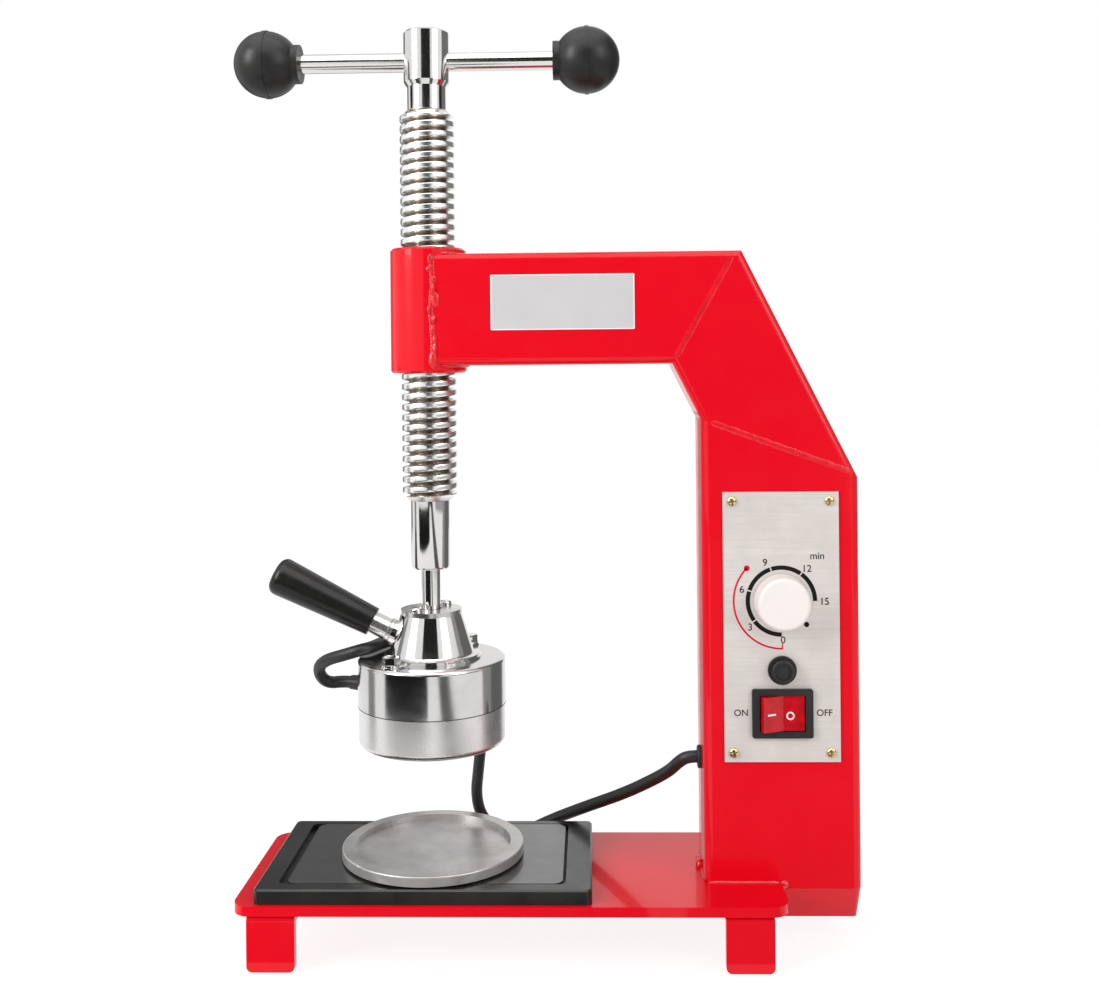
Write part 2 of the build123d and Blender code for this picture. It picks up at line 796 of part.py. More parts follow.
with BuildPart() as clamp_plate:
    with BuildSketch(at(spindle_x, 0, element_top)):
        Circle(clamp_diameter / 2)
        with PolarLocations(lug_circle / 2, 2, start_angle=lug_angle):
            Circle(head_bolt_diameter / 2 + slip_gap, mode=Mode.SUBTRACT)
    extrude(amount=clamp_thick)
save(clamp_plate, "clamp_plate")

with BuildPart() as insulation_disc:
    with BuildSketch(at(spindle_x, 0, clamp_top)):
        Circle(insulation_diameter / 2)
        with PolarLocations(lug_circle / 2, 2, start_angle=lug_angle):
            Circle(head_bolt_diameter / 2 + slip_gap, mode=Mode.SUBTRACT)
        with Locations((thermostat_offset, 0)):
            Circle(thermostat_diameter / 2 + slip_gap, mode=Mode.SUBTRACT)
    extrude(amount=insulation_thick)
save(insulation_disc, "insulation_disc")

with BuildPart() as thermostat:
    with BuildSketch(at(spindle_x + thermostat_offset, 0, clamp_top)):
        Circle(thermostat_diameter / 2)
    extrude(amount=thermostat_height)
save(thermostat, "thermostat")

bolt_seat = foot_top + head_washer_thick
with BuildPart() as head_bolts:
    with BuildSketch(at(spindle_x, 0, foot_top)):
        with PolarLocations(lug_circle / 2, 2, start_angle=lug_angle):
            Circle(head_washer_diameter / 2)
    extrude(amount=head_washer_thick)
    with BuildSketch(at(spindle_x, 0, bolt_seat)):
        with PolarLocations(lug_circle / 2, 2, start_angle=lug_angle):
            RegularPolygon(head_bolt_flats / 2, 6, major_radius=False)
    extrude(amount=head_bolt_head)
    with BuildSketch(at(spindle_x, 0, bolt_seat)):
        with PolarLocations(lug_circle / 2, 2, start_angle=lug_angle):
            Circle(head_bolt_diameter / 2)
    extrude(amount=spigot_top - plate_thick / 2 - bolt_seat)
save(head_bolts, "head_bolts")

gland_tip = cover_radius + head_gland_length
with BuildPart() as head_gland:
    with BuildSketch(along_gland(cover_radius - cover_wall)):
        Circle(head_gland_diameter / 2)
    with BuildSketch(along_gland(gland_tip)):
        Circle(head_gland_tip / 2)
    loft()
    with BuildSketch(at(spindle_x, 0, gland_z)):
        Circle(cover_radius)
    extrude(amount=head_gland_diameter, both=True, mode=Mode.SUBTRACT)
    with BuildSketch(along_gland(cover_radius - cover_wall)):
        Circle(head_gland_neck / 2)
    extrude(amount=2 * cover_wall)
save(head_gland, "head_gland")

# ---------------------------------------------------------------- control panel
with BuildPart() as control_panel:
    with BuildSketch(facing(post_x, frame_front, panel_z)):
        Rectangle(panel_width, panel_height)
        with GridLocations(
            panel_width - 2 * panel_screw_inset, panel_height - 2 * panel_screw_inset, 2, 2
        ):
            Circle(panel_screw_diameter / 2, mode=Mode.SUBTRACT)
        with Locations((0, timer_rise)):
            Circle(timer_shaft_hole / 2, mode=Mode.SUBTRACT)
        with Locations((0, -fuse_drop)):
            Circle(fuse_barrel_diameter / 2, mode=Mode.SUBTRACT)
        with Locations((0, -switch_drop)):
            Rectangle(switch_body_width, switch_body_height, mode=Mode.SUBTRACT)
    extrude(amount=panel_thick)
save(control_panel, "control_panel")

with BuildPart() as panel_screws:
    with BuildSketch(facing(post_x, panel_front, panel_z)):
        with GridLocations(
            panel_width - 2 * panel_screw_inset, panel_height - 2 * panel_screw_inset, 2, 2
        ):
            Circle(panel_screw_head / 2)
    extrude(amount=panel_screw_head_height)
    fillet(panel_screws.edges().group_by(Axis.Y)[0], panel_screw_head_height * 0.6)
    with BuildSketch(facing(post_x, panel_front, panel_z)):
        with GridLocations(
            panel_width - 2 * panel_screw_inset, panel_height - 2 * panel_screw_inset, 2, 2
        ):
            Circle(panel_screw_diameter / 2)
    extrude(amount=-panel_screw_length)
save(panel_screws, "panel_screws")

# ---------------------------------------------------------------- timer
with BuildPart() as timer_body:
    with BuildSketch(facing(post_x, frame_front, timer_z)):
        RectangleRounded(timer_width, timer_width, tube_corner)
    extrude(amount=-timer_depth)
    with BuildSketch(facing(post_x, frame_front, timer_z)):
        Circle(timer_shaft_diameter / 2 + slip_gap)
    extrude(amount=-(timer_shaft_in_body + running_gap), mode=Mode.SUBTRACT)
save(timer_body, "timer_body")

knob_back = panel_front - knob_gap
knob_bore_end = knob_back - knob_height + knob_wall
with BuildPart() as timer_shaft:
    with BuildSketch(facing(post_x, knob_bore_end, timer_z)):
        Circle(timer_shaft_diameter / 2)
    extrude(amount=knob_bore_end - frame_front - timer_shaft_in_body)
save(timer_shaft, "timer_shaft")

with BuildPart() as timer_knob:
    with BuildSketch(facing(post_x, knob_back, timer_z)):
        Circle(knob_diameter / 2)
    with BuildSketch(facing(post_x, knob_back - knob_height, timer_z)):
        Circle(knob_front_diameter / 2)
    loft()
    fillet(timer_knob.faces().sort_by(Axis.Y)[0].edges(), knob_edge)
    with BuildSketch(facing(post_x, knob_back, timer_z)):
        Circle(timer_shaft_diameter / 2)
    extrude(amount=knob_height - knob_wall, mode=Mode.SUBTRACT)
save(timer_knob, "timer_knob")

# ---------------------------------------------------------------- fuse holder
fuse_front = panel_front - fuse_flange_thick
with BuildPart() as fuse_holder:
    with BuildSketch(facing(post_x, panel_front, fuse_z)):
        Circle(fuse_flange_diameter / 2)
    extrude(amount=fuse_flange_thick)
    with BuildSketch(facing(post_x, panel_front, fuse_z)):
        Circle(fuse_barrel_diameter / 2)
    extrude(amount=-fuse_barrel_depth)
    with BuildSketch(facing(post_x, fuse_front, fuse_z)):
        Circle(fuse_socket_diameter / 2)
    extrude(amount=-fuse_socket_depth, mode=Mode.SUBTRACT)
    with BuildSketch(facing(post_x, fuse_front, fuse_z)):
        Circle(fuse_bore / 2)
    extrude(amount=-fuse_bore_depth, mode=Mode.SUBTRACT)
save(fuse_holder, "fuse_holder")

fuse_cap_back = fuse_front - slip_gap
fuse_stem_end = fuse_front + fuse_socket_depth - running_gap
with BuildPart() as fuse_cap:
    with BuildSketch(facing(post_x, fuse_cap_back, fuse_z)):
        Circle(fuse_cap_diameter / 2)
    extrude(amount=fuse_cap_height)
    fillet(fuse_cap.faces().sort_by(Axis.Y)[0].edges(), fuse_cap_step * 0.6)
    with BuildSketch(facing(post_x, fuse_cap_back - fuse_cap_height, fuse_z)):
        Circle(fuse_cap_step_diameter / 2)
    extrude(amount=-fuse_cap_step, mode=Mode.SUBTRACT)
    with BuildSketch(facing(post_x, fuse_cap_back, fuse_z)):
        Circle(fuse_socket_diameter / 2 - slip_gap)
    extrude(amount=fuse_cap_back - fuse_stem_end)
save(fuse_cap, "fuse_cap")

with BuildPart() as fuse_link:
    with BuildSketch(facing(post_x, fuse_stem_end, fuse_z)):
        Circle(fuse_link_diameter / 2)
    extrude(amount=-fuse_link_length)
    for end in (fuse_stem_end, fuse_stem_end + fuse_link_length - fuse_link_end):
        with BuildSketch(facing(post_x, end, fuse_z)):
            Circle(fuse_link_end_diameter / 2)
        extrude(amount=-fuse_link_end)
save(fuse_link, "fuse_link")

# ---------------------------------------------------------------- rocker switch
bezel_front = panel_front - bezel_thick
pivot_y = bezel_front + rocker_pivot_depth
with BuildPart() as switch_housing:
    with BuildSketch(facing(post_x, panel_front, switch_z)):
        RectangleRounded(bezel_width, bezel_height, bezel_corner)
    extrude(amount=bezel_thick)
    with BuildSketch(facing(post_x, panel_front, switch_z)):
        Rectangle(switch_body_width, switch_body_height)
    extrude(amount=-switch_body_depth)
    with BuildSketch(facing(post_x, bezel_front, switch_z)):
        Rectangle(switch_well_width, switch_well_height)
    extrude(amount=-switch_well_depth, mode=Mode.SUBTRACT)
    with BuildSketch(at(post_x, pivot_y, switch_z)):
        Circle(rocker_pin_diameter / 2 + slip_gap)
    extrude(
        amount=switch_well_height / 2 + rocker_pin_bite + slip_gap, both=True, mode=Mode.SUBTRACT
    )
save(switch_housing, "switch_housing")

# The rocker has a hollow vee front. It rests with its right-hand side pressed in.
rocker_rise = (rocker_radius**2 - rocker_reach**2) ** 0.5
rocker_valley = rocker_rise - rocker_reach * tan(radians(rocker_half_angle))
rocker_turn = radians(rocker_half_angle)
rocker_half_height = switch_well_height / 2 - running_gap
rocker_plane = Plane(
    origin=(post_x, pivot_y, switch_z),
    x_dir=(cos(rocker_turn), sin(rocker_turn), 0),
    z_dir=(0, 0, 1),
)
with BuildPart() as switch_rocker:
    with BuildSketch(rocker_plane):
        with BuildLine():
            Polyline((-rocker_reach, -rocker_rise), (0, -rocker_valley), (rocker_reach, -rocker_rise))
            ThreePointArc(
                (rocker_reach, -rocker_rise), (rocker_radius, 0), (rocker_reach, rocker_rise)
            )
            Polyline(
                (rocker_reach, rocker_rise),
                (rocker_reach / 2, rocker_tail),
                (-rocker_reach / 2, rocker_tail),
                (-rocker_reach, rocker_rise),
            )
            ThreePointArc(
                (-rocker_reach, rocker_rise), (-rocker_radius, 0), (-rocker_reach, -rocker_rise)
            )
        make_face()
    extrude(amount=rocker_half_height, both=True)
    with BuildSketch(rocker_plane):
        Circle(rocker_pin_diameter / 2)
    extrude(amount=switch_well_height / 2 + rocker_pin_bite, both=True)
save(switch_rocker, "switch_rocker")

# ---------------------------------------------------------------- bushes in the post
with BuildPart() as post_grommet:
    with BuildSketch(Plane(origin=(post_left, 0, base_top + grommet_height), z_dir=(-1, 0, 0))):
        Circle(grommet_diameter / 2)
    extrude(amount=grommet_flange)
    with BuildSketch(Plane(origin=(post_left, 0, base_top + grommet_height), z_dir=(1, 0, 0))):
        Circle(grommet_neck / 2)
    extrude(amount=tube_wall)
    fillet(post_grommet.faces().sort_by(Axis.X)[0].edges(), grommet_flange / 2)
save(post_grommet, "post_grommet")

# The power lead's bush, closed by its seal.
mains_plane = Plane(
    origin=(post_x, frame_half, base_top + mains_height), x_dir=(-1, 0, 0), z_dir=(0, 1, 0)
)
with BuildPart() as mains_gland:
    with BuildSketch(mains_plane):
        Circle(mains_flange_diameter / 2)
    extrude(amount=mains_flange)
    with BuildSketch(mains_plane.offset(mains_flange)):
        Circle(mains_neck / 2)
    with BuildSketch(mains_plane.offset(mains_flange + mains_nose_length)):
        Circle(mains_nose_diameter / 2)
    loft()
    with BuildSketch(mains_plane.offset(mains_flange + mains_nose_length)):
        Circle(mains_bore / 2)
    extrude(amount=-mains_bore_depth, mode=Mode.SUBTRACT)
    with BuildSketch(mains_plane):
        Circle(mains_neck / 2)
    extrude(amount=-tube_wall)
save(mains_gland, "mains_gland")

# ---------------------------------------------------------------- the head's cord
# One soft lead in two stretches, which meet behind the head. Places are measured from the
# spindle's axis. The head's stretch folds back tightly beside the head.
gland_point = gland_out * gland_tip + Vector(0, 0, gland_z)
grommet_point = Vector(throat - grommet_flange, 0, base_top + grommet_height)
head_cord_route = [
    gland_point,
    gland_point + gland_out * cord_lead_out,
    (-58.8, 17.8, 126.4),
    (-62.9, 15.2, 130.6),
    (-62.8, 10.5, 137.2),
    (-57.0, 4.5, 142.2),
    (-47.0, -1.0, 145.8),
    (-37.5, -3.5, 149.0),
    (-31.8, 2.0, 149.4),
    (-28.5, 14.0, 149.4),
    (-18.0, 27.0, 149.4),
    (-2.0, 35.0, 149.4),
    (12.0, 42.5, 146.0),
    (18.5, 48.3, 132.0),
    (19.8, 50.0, 118.0),
]
lead_cord_route = [
    (19.8, 50.0, 118.0),
    (21.1, 51.7, 104.0),
    (21.3, 53.5, 87.0),
    (19.2, 56.0, 68.0),
    (17.2, 58.0, 51.5),
    (20.5, 60.0, 37.5),
    (31.0, 61.5, 28.5),
    (45.5, 61.0, 29.0),
    (59.5, 57.5, 37.0),
    (78.0, 48.5, 47.2),
    (102.0, 31.0, 61.5),
    (118.0, 18.0, 73.5),
    (126.3, 9.2, 81.3),
    (130.6, 2.8, 87.9),
    grommet_point - Vector(cord_lead_out, 0, 0),
    grommet_point,
]
cord_run_share = 0.45


def cord_radii(points):
    """The arc at each corner of a cord's route, as large as its two runs allow."""
    radii = []
    for before, corner, after in zip(points, points[1:], points[2:]):
        run_in = corner - before
        run_out = after - corner
        turn = radians(run_in.get_angle(run_out))
        shorter = min(run_in.length, run_out.length)
        radii.append(cord_run_share * shorter / tan(turn / 2))
    return radii


for cord_name, route in (("head_cord", head_cord_route), ("lead_cord", lead_cord_route)):
    cord_points = [Vector(point) + Vector(spindle_x, 0, 0) for point in route]
    corner_radii = cord_radii(cord_points)
    with BuildPart() as cord:
        with BuildLine() as cord_path:
            FilletPolyline(*cord_points, radius=corner_radii)
        cord_start = cord_points[1] - cord_points[0]
        with BuildSketch(Plane(origin=cord_points[0], z_dir=cord_start)):
            Circle(cord_diameter / 2)
        sweep(path=cord_path.wires()[0])
    save(cord, cord_name)
    cord_length = cord_path.wires()[0].length
    cord_section = pi * cord_diameter**2 / 4
    print(cord_name, "length", round(cord_length, 1))
    print(cord_name, "radii", [round(radius, 1) for radius in corner_radii])
    print(cord_name, "volume / (section x length)",
          round(cord.part.volume / (cord_section * cord_length), 4))
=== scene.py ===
"""The looks of a screw-clamp bench press with a heated head.

Metres, +Z up, -Y towards the user. Places are taken from the frame's own boxes, or are measured
in millimetres from the spindle's axis, as the cords' routes are.
"""
import json
import random
from math import cos, pi, radians, sin, tan

import bmesh
import bpy
from mathutils import Matrix, Vector, noise

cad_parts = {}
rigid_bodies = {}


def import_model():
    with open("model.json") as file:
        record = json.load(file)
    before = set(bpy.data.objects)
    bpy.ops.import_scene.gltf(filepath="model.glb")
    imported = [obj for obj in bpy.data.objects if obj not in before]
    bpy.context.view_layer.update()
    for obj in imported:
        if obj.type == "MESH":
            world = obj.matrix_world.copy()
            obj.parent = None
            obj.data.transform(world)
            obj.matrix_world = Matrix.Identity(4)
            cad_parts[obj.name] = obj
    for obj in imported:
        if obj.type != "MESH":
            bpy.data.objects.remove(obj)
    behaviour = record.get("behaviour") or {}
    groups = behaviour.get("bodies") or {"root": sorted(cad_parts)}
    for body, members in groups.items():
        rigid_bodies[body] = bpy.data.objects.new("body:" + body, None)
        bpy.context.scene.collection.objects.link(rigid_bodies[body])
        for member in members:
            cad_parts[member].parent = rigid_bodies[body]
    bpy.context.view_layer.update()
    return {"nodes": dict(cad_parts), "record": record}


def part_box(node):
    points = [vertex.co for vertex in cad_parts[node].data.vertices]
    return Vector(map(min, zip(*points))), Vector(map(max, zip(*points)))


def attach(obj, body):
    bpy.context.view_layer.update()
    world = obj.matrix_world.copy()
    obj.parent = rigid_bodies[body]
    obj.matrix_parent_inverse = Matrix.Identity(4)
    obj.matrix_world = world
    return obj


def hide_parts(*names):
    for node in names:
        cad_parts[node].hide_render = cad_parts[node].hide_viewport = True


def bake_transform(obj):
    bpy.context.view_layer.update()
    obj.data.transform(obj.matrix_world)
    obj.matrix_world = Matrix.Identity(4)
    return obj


for leftover in list(bpy.data.objects):
    bpy.data.objects.remove(leftover)
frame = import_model()
NODES = frame["nodes"]
MM = 0.001


# -------- places
def low(node):
    """The lowest corner of a node."""
    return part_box(node)[0]


def high(node):
    """The highest corner of a node."""
    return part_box(node)[1]


def middle(node):
    """The centre of a node's box."""
    return (low(node) + high(node)) / 2


AXIS_X = middle("spindle").x


def near_axis(x, y, z):
    """A point given in millimetres, with x measured from the spindle's axis."""
    return Vector((AXIS_X + x * MM, y * MM, z * MM))


FRAME_FRONT = low("arm").y
FRAME_BACK = high("arm").y
POST_LEFT = low("post").x
POST_RIGHT = high("post").x
POST_X = (POST_LEFT + POST_RIGHT) / 2
BASE_TOP = high("base_plate").z
BASE_RIGHT = high("base_plate").x
ARM_BOTTOM = low("arm").z
ARM_TOP = high("arm").z
PANEL_FRONT = low("control_panel").y
DIAL = Vector((POST_X, PANEL_FRONT, middle("timer_knob").z))
SWITCH = Vector((POST_X, PANEL_FRONT, middle("switch_housing").z))

# -------- the photograph's camera
PHOTO_WIDTH = 1100
PHOTO_HEIGHT = 1008
SENSOR = 36.0
FOCAL_PIXELS = 1258.3
PRINCIPAL_X = 558.7
PRINCIPAL_Y = 369.3
CAMERA_SPOT = near_axis(86.16, -666.23, 296.59)
CAMERA_YAW = 0.0261
CAMERA_ROLL = 0.0091


def make_camera():
    """The camera stands where the photograph was taken."""
    lens = bpy.data.cameras.new("photo_camera")
    lens.sensor_fit = "HORIZONTAL"
    lens.sensor_width = SENSOR
    lens.lens = FOCAL_PIXELS / PHOTO_WIDTH * SENSOR
    lens.shift_x = (PHOTO_WIDTH / 2 - PRINCIPAL_X) / PHOTO_WIDTH
    lens.shift_y = (PRINCIPAL_Y - PHOTO_HEIGHT / 2) / PHOTO_WIDTH
    lens.clip_start = 0.01
    camera = bpy.data.objects.new("photo_camera", lens)
    turn = Matrix.Rotation(CAMERA_YAW, 4, "Z")
    turn = turn @ Matrix.Rotation(pi / 2, 4, "X") @ Matrix.Rotation(-CAMERA_ROLL, 4, "Z")
    camera.matrix_world = Matrix.Translation(CAMERA_SPOT) @ turn
    bpy.context.scene.collection.objects.link(camera)
    bpy.context.scene.camera = camera


# -------- materials
MIX_FIRST, MIX_SECOND, MIX_RESULT = 6, 7, 2  # the colour sockets of a Mix node


class Surface:
    """A node material with one Principled shader, and short calls for the detail on it."""

    def __init__(self, name, **values):
        """A material whose even values are set on the shader's own sockets."""
        self.material = bpy.data.materials.new(name)
        self.material.use_nodes = True
        self.tree = self.material.node_tree
        self.shader = self.tree.nodes["Principled BSDF"]
        self.normal = None
        for socket, value in values.items():
            title = socket.replace("_", " ").title().replace("Ior", "IOR")
            self.shader.inputs[title].default_value = value
        self.place = self.node("ShaderNodeTexCoord").outputs["Object"]

    def node(self, kind, **settings):
        """A new node with some of its own settings."""
        made = self.tree.nodes.new(kind)
        for setting, value in settings.items():
            setattr(made, setting, value)
        return made

    def link(self, source, target):
        """Joins an output to an input."""
        self.tree.links.new(source, target)

    def stretched(self, stretch, turn=(0, 0, 0)):
        """Coordinates scaled on each axis, to draw detail out into lines."""
        mapping = self.node("ShaderNodeMapping")
        mapping.inputs["Scale"].default_value = stretch
        mapping.inputs["Rotation"].default_value = turn
        self.link(self.place, mapping.inputs["Vector"])
        return mapping.outputs["Vector"]

    def around(self, centre, stretch):
        """Coordinates of distance from an upright line, height and angle, for turned marks."""
        offset = self.node("ShaderNodeVectorMath", operation="SUBTRACT")
        offset.inputs[1].default_value = centre
        self.link(self.place, offset.inputs[0])
        parts = self.node("ShaderNodeSeparateXYZ")
        self.link(offset.outputs[0], parts.inputs[0])
        flat = self.node("ShaderNodeCombineXYZ")
        self.link(parts.outputs["X"], flat.inputs["X"])
        self.link(parts.outputs["Y"], flat.inputs["Y"])
        length = self.node("ShaderNodeVectorMath", operation="LENGTH")
        self.link(flat.outputs[0], length.inputs[0])
        angle = self.node("ShaderNodeMath", operation="ARCTAN2")
        self.link(parts.outputs["Y"], angle.inputs[0])
        self.link(parts.outputs["X"], angle.inputs[1])
        joined = self.node("ShaderNodeCombineXYZ")
        self.link(length.outputs["Value"], joined.inputs["X"])
        self.link(angle.outputs[0], joined.inputs["Y"])
        self.link(parts.outputs["Z"], joined.inputs["Z"])
        scale = self.node("ShaderNodeVectorMath", operation="MULTIPLY")
        scale.inputs[1].default_value = stretch
        self.link(joined.outputs[0], scale.inputs[0])
        return scale.outputs[0]

    def noise(self, scale, detail=3.0, rough=0.5, place=None):
        """Soft noise from 0 to 1, with its scale in cells per metre."""
        made = self.node("ShaderNodeTexNoise")
        made.inputs["Scale"].default_value = scale
        made.inputs["Detail"].default_value = detail
        made.inputs["Roughness"].default_value = rough
        self.link(place or self.place, made.inputs["Vector"])
        return made.outputs["Fac"]

    def ramp(self, source, start, end, low_value=0.0, high_value=1.0):
        """A source stretched from start..end to low..high, and clamped."""
        made = self.node("ShaderNodeMapRange")
        for name, value in (("From Min", start), ("From Max", end), ("To Min", low_value),
                            ("To Max", high_value)):
            made.inputs[name].default_value = value
        self.link(source, made.inputs["Value"])
        return made.outputs["Result"]

    def tint(self, factor, first, second):
        """Mixes two colours by a factor into the base colour."""
        made = self.node("ShaderNodeMix", data_type="RGBA")
        made.inputs[MIX_FIRST].default_value = (*first, 1)
        made.inputs[MIX_SECOND].default_value = (*second, 1)
        self.link(factor, made.inputs["Factor"])
        self.link(made.outputs[MIX_RESULT], self.shader.inputs["Base Color"])

    def vary(self, socket, source, low_value, high_value, start=0.3, end=0.7):
        """Drives a number of the shader by a noise."""
        self.link(self.ramp(source, start, end, low_value, high_value), self.shader.inputs[socket])

    def bump(self, source, depth, strength=1.0):
        """Adds relief, with its depth in metres, over what is there already."""
        made = self.node("ShaderNodeBump")
        made.inputs["Strength"].default_value = strength
        made.inputs["Distance"].default_value = depth
        self.link(source, made.inputs["Height"])
        if self.normal:
            self.link(self.normal, made.inputs["Normal"])
        self.normal = made.outputs["Normal"]
        self.link(self.normal, self.shader.inputs["Normal"])


RED = (0.79, 0.0022, 0.013)
RED_DEEP = (0.75, 0.002, 0.012)
STEEL = (0.74, 0.73, 0.715)
BLACK = (0.012, 0.0115, 0.011)
AXIS_CENTRE = (AXIS_X, 0, 0)


def red_paint():
    """Glossy powder coat with a faint orange peel."""
    paint = Surface("red_powder_coat", coat_weight=0.35, coat_roughness=0.05,
                    specular_ior_level=0.12)
    paint.tint(paint.ramp(paint.noise(9, 2), 0.35, 0.7), RED, RED_DEEP)
    paint.vary("Roughness", paint.noise(60), 0.18, 0.27)
    paint.bump(paint.noise(420, 2, 0.4), 0.00004, 0.4)
    paint.bump(paint.noise(45, 1), 0.00008, 0.25)
    return paint.material


def weld_paint():
    """The same coat over a weld, where it lies thicker in the hollows."""
    paint = Surface("red_coat_on_weld", coat_weight=0.8, coat_roughness=0.06,
                    specular_ior_level=0.3)
    paint.tint(paint.ramp(paint.noise(180, 3), 0.35, 0.7), RED, (0.62, 0.002, 0.010))
    paint.vary("Roughness", paint.noise(300), 0.22, 0.4)
    paint.bump(paint.noise(700, 3), 0.00015, 0.6)
    return paint.material


def polished(name, color, rough_low, rough_high, centre=AXIS_CENTRE, turned=9000,
             depth=0.000004):
    """Turned and polished metal: fine rings about the spindle's axis, and a few smears."""
    metal = Surface(name, metallic=1.0)
    darker = tuple(0.9 * part for part in color)
    smears = metal.noise(45, 4, 0.6)
    metal.tint(metal.ramp(smears, 0.4, 0.75), color, darker)
    metal.vary("Roughness", smears, rough_low, rough_high, 0.35, 0.72)
    rings = metal.noise(1.0, 2, 0.6, metal.around(centre, (turned, 0.6, turned)))
    metal.bump(rings, depth, 0.5)
    return metal.material


def bar_steel():
    """Drawn and plated bar, with marks along it."""
    metal = Surface("plated_bar", metallic=1.0, base_color=(*STEEL, 1))
    metal.vary("Roughness", metal.noise(90, 4, 0.6, metal.stretched((0.15, 1, 1))), 0.07, 0.19)
    metal.bump(metal.noise(2600, 2, 0.5, metal.stretched((0.02, 1, 1))), 0.000004, 0.4)
    return metal.material


def thread_steel():
    """Plated thread, with painted shade darkening it towards its roots."""
    metal = Surface("plated_thread", metallic=1.0)
    parts = metal.node("ShaderNodeSeparateXYZ")
    metal.link(metal.around(AXIS_CENTRE, (1, 1, 1)), parts.inputs[0])
    # Painted shade: the dark root colour stands for the shade in the thread's grooves; the light
    # crest colour is the plating.
    crest = metal.ramp(parts.outputs["X"], 0.0108, 0.0134)
    metal.tint(crest, (0.50, 0.465, 0.43), (0.90, 0.885, 0.86))
    metal.vary("Roughness", metal.noise(160, 4, 0.6), 0.16, 0.30)
    metal.bump(metal.noise(1.0, 2, 0.6, metal.around(AXIS_CENTRE, (5000, 3, 5000))), 0.000006, 0.4)
    return metal.material


def heater_metal():
    """Bright turned aluminium, softer than the cover above it."""
    metal = Surface("turned_aluminium", metallic=1.0)
    clouds = metal.ramp(metal.noise(30, 3), 0.35, 0.7)
    metal.tint(clouds, (0.80, 0.785, 0.77), (0.72, 0.705, 0.695))
    metal.vary("Roughness", metal.noise(70, 4, 0.6), 0.24, 0.34)
    rings = metal.noise(1.0, 2, 0.6, metal.around(AXIS_CENTRE, (4200, 0.5, 4200)))
    metal.bump(rings, 0.000003, 0.4)
    return metal.material


def cast_grey():
    """Machined grey casting, with swirls of the cutter and rubbed marks."""
    metal = Surface("machined_casting", metallic=0.65)
    clouds = metal.ramp(metal.noise(34, 5, 0.6), 0.3, 0.72)
    metal.tint(clouds, (0.66, 0.645, 0.63), (0.40, 0.385, 0.37))
    metal.vary("Roughness", metal.noise(55, 5, 0.65), 0.24, 0.42)
    metal.bump(metal.noise(1.0, 3, 0.6, metal.around(AXIS_CENTRE, (1500, 4, 1500))), 0.00003, 0.5)
    metal.bump(metal.noise(240, 4, 0.6), 0.00003, 0.4)
    return metal.material


def plastic(name, color, rough_low, rough_high, grain=900, depth=0.00002, spread=1.35, **more):
    """Moulded plastic or rubber: a fine grain and an uneven gloss."""
    made = Surface(name, **more)
    lighter = tuple(min(1.0, spread * part) for part in color)
    made.tint(made.ramp(made.noise(26, 4), 0.35, 0.7), color, lighter)
    made.vary("Roughness", made.noise(110, 4), rough_low, rough_high)
    made.bump(made.noise(grain, 3), depth, 0.5)
    return made.material


def tray_enamel():
    """Satin black enamel over a pressing."""
    made = Surface("black_enamel", coat_weight=0.3, coat_roughness=0.16, specular_ior_level=0.35)
    clouds = made.ramp(made.noise(40, 4), 0.35, 0.7)
    made.tint(clouds, (0.014, 0.013, 0.0125), (0.022, 0.021, 0.020))
    made.vary("Roughness", made.noise(80, 4), 0.24, 0.36)
    made.bump(made.noise(900, 3), 0.00003, 0.5)
    return made.material


def mat_black():
    """Dark mat with fine lines along it."""
    made = Surface("dark_mat", coat_weight=0.8, coat_roughness=0.10)
    lines = made.noise(900, 3, 0.6, made.stretched((0.03, 1, 1)))
    made.tint(made.ramp(lines, 0.3, 0.75), (0.026, 0.025, 0.025), (0.050, 0.049, 0.048))
    made.vary("Roughness", made.noise(60, 3), 0.26, 0.38)
    made.bump(lines, 0.00003, 0.5)
    return made.material


def panel_plate():
    """Brushed plate of the control panel."""
    made = Surface("brushed_plate", metallic=0.18)
    lines = made.noise(1500, 3, 0.6, made.stretched((0.02, 1, 1)))
    clouds = made.noise(70, 4, 0.6)
    mixed = made.node("ShaderNodeMath", operation="MULTIPLY")
    made.link(lines, mixed.inputs[0])
    made.link(clouds, mixed.inputs[1])
    made.tint(made.ramp(mixed.outputs[0], 0.15, 0.4), (0.68, 0.63, 0.60), (0.77, 0.72, 0.69))
    made.vary("Roughness", clouds, 0.34, 0.46)
    made.bump(lines, 0.000012, 0.5)
    return made.material


def rocker_red():
    """Translucent red of the rocker, with a soft glow in its depth."""
    made = Surface("translucent_red", coat_weight=0.35, coat_roughness=0.04, specular_ior_level=0.2)
    made.tint(made.ramp(made.noise(240, 3), 0.3, 0.7), (0.62, 0.002, 0.012), (0.42, 0.001, 0.006))
    made.vary("Roughness", made.noise(200, 3), 0.12, 0.24)
    made.bump(made.noise(500, 2), 0.00003, 0.3)
    return made.material


def glass_tube():
    """Clear glass of the fuse link."""
    made = Surface("fuse_glass", transmission_weight=0.85, ior=1.47,
                   base_color=(0.9, 0.93, 0.93, 1))
    made.vary("Roughness", made.noise(300), 0.02, 0.06)
    return made.material


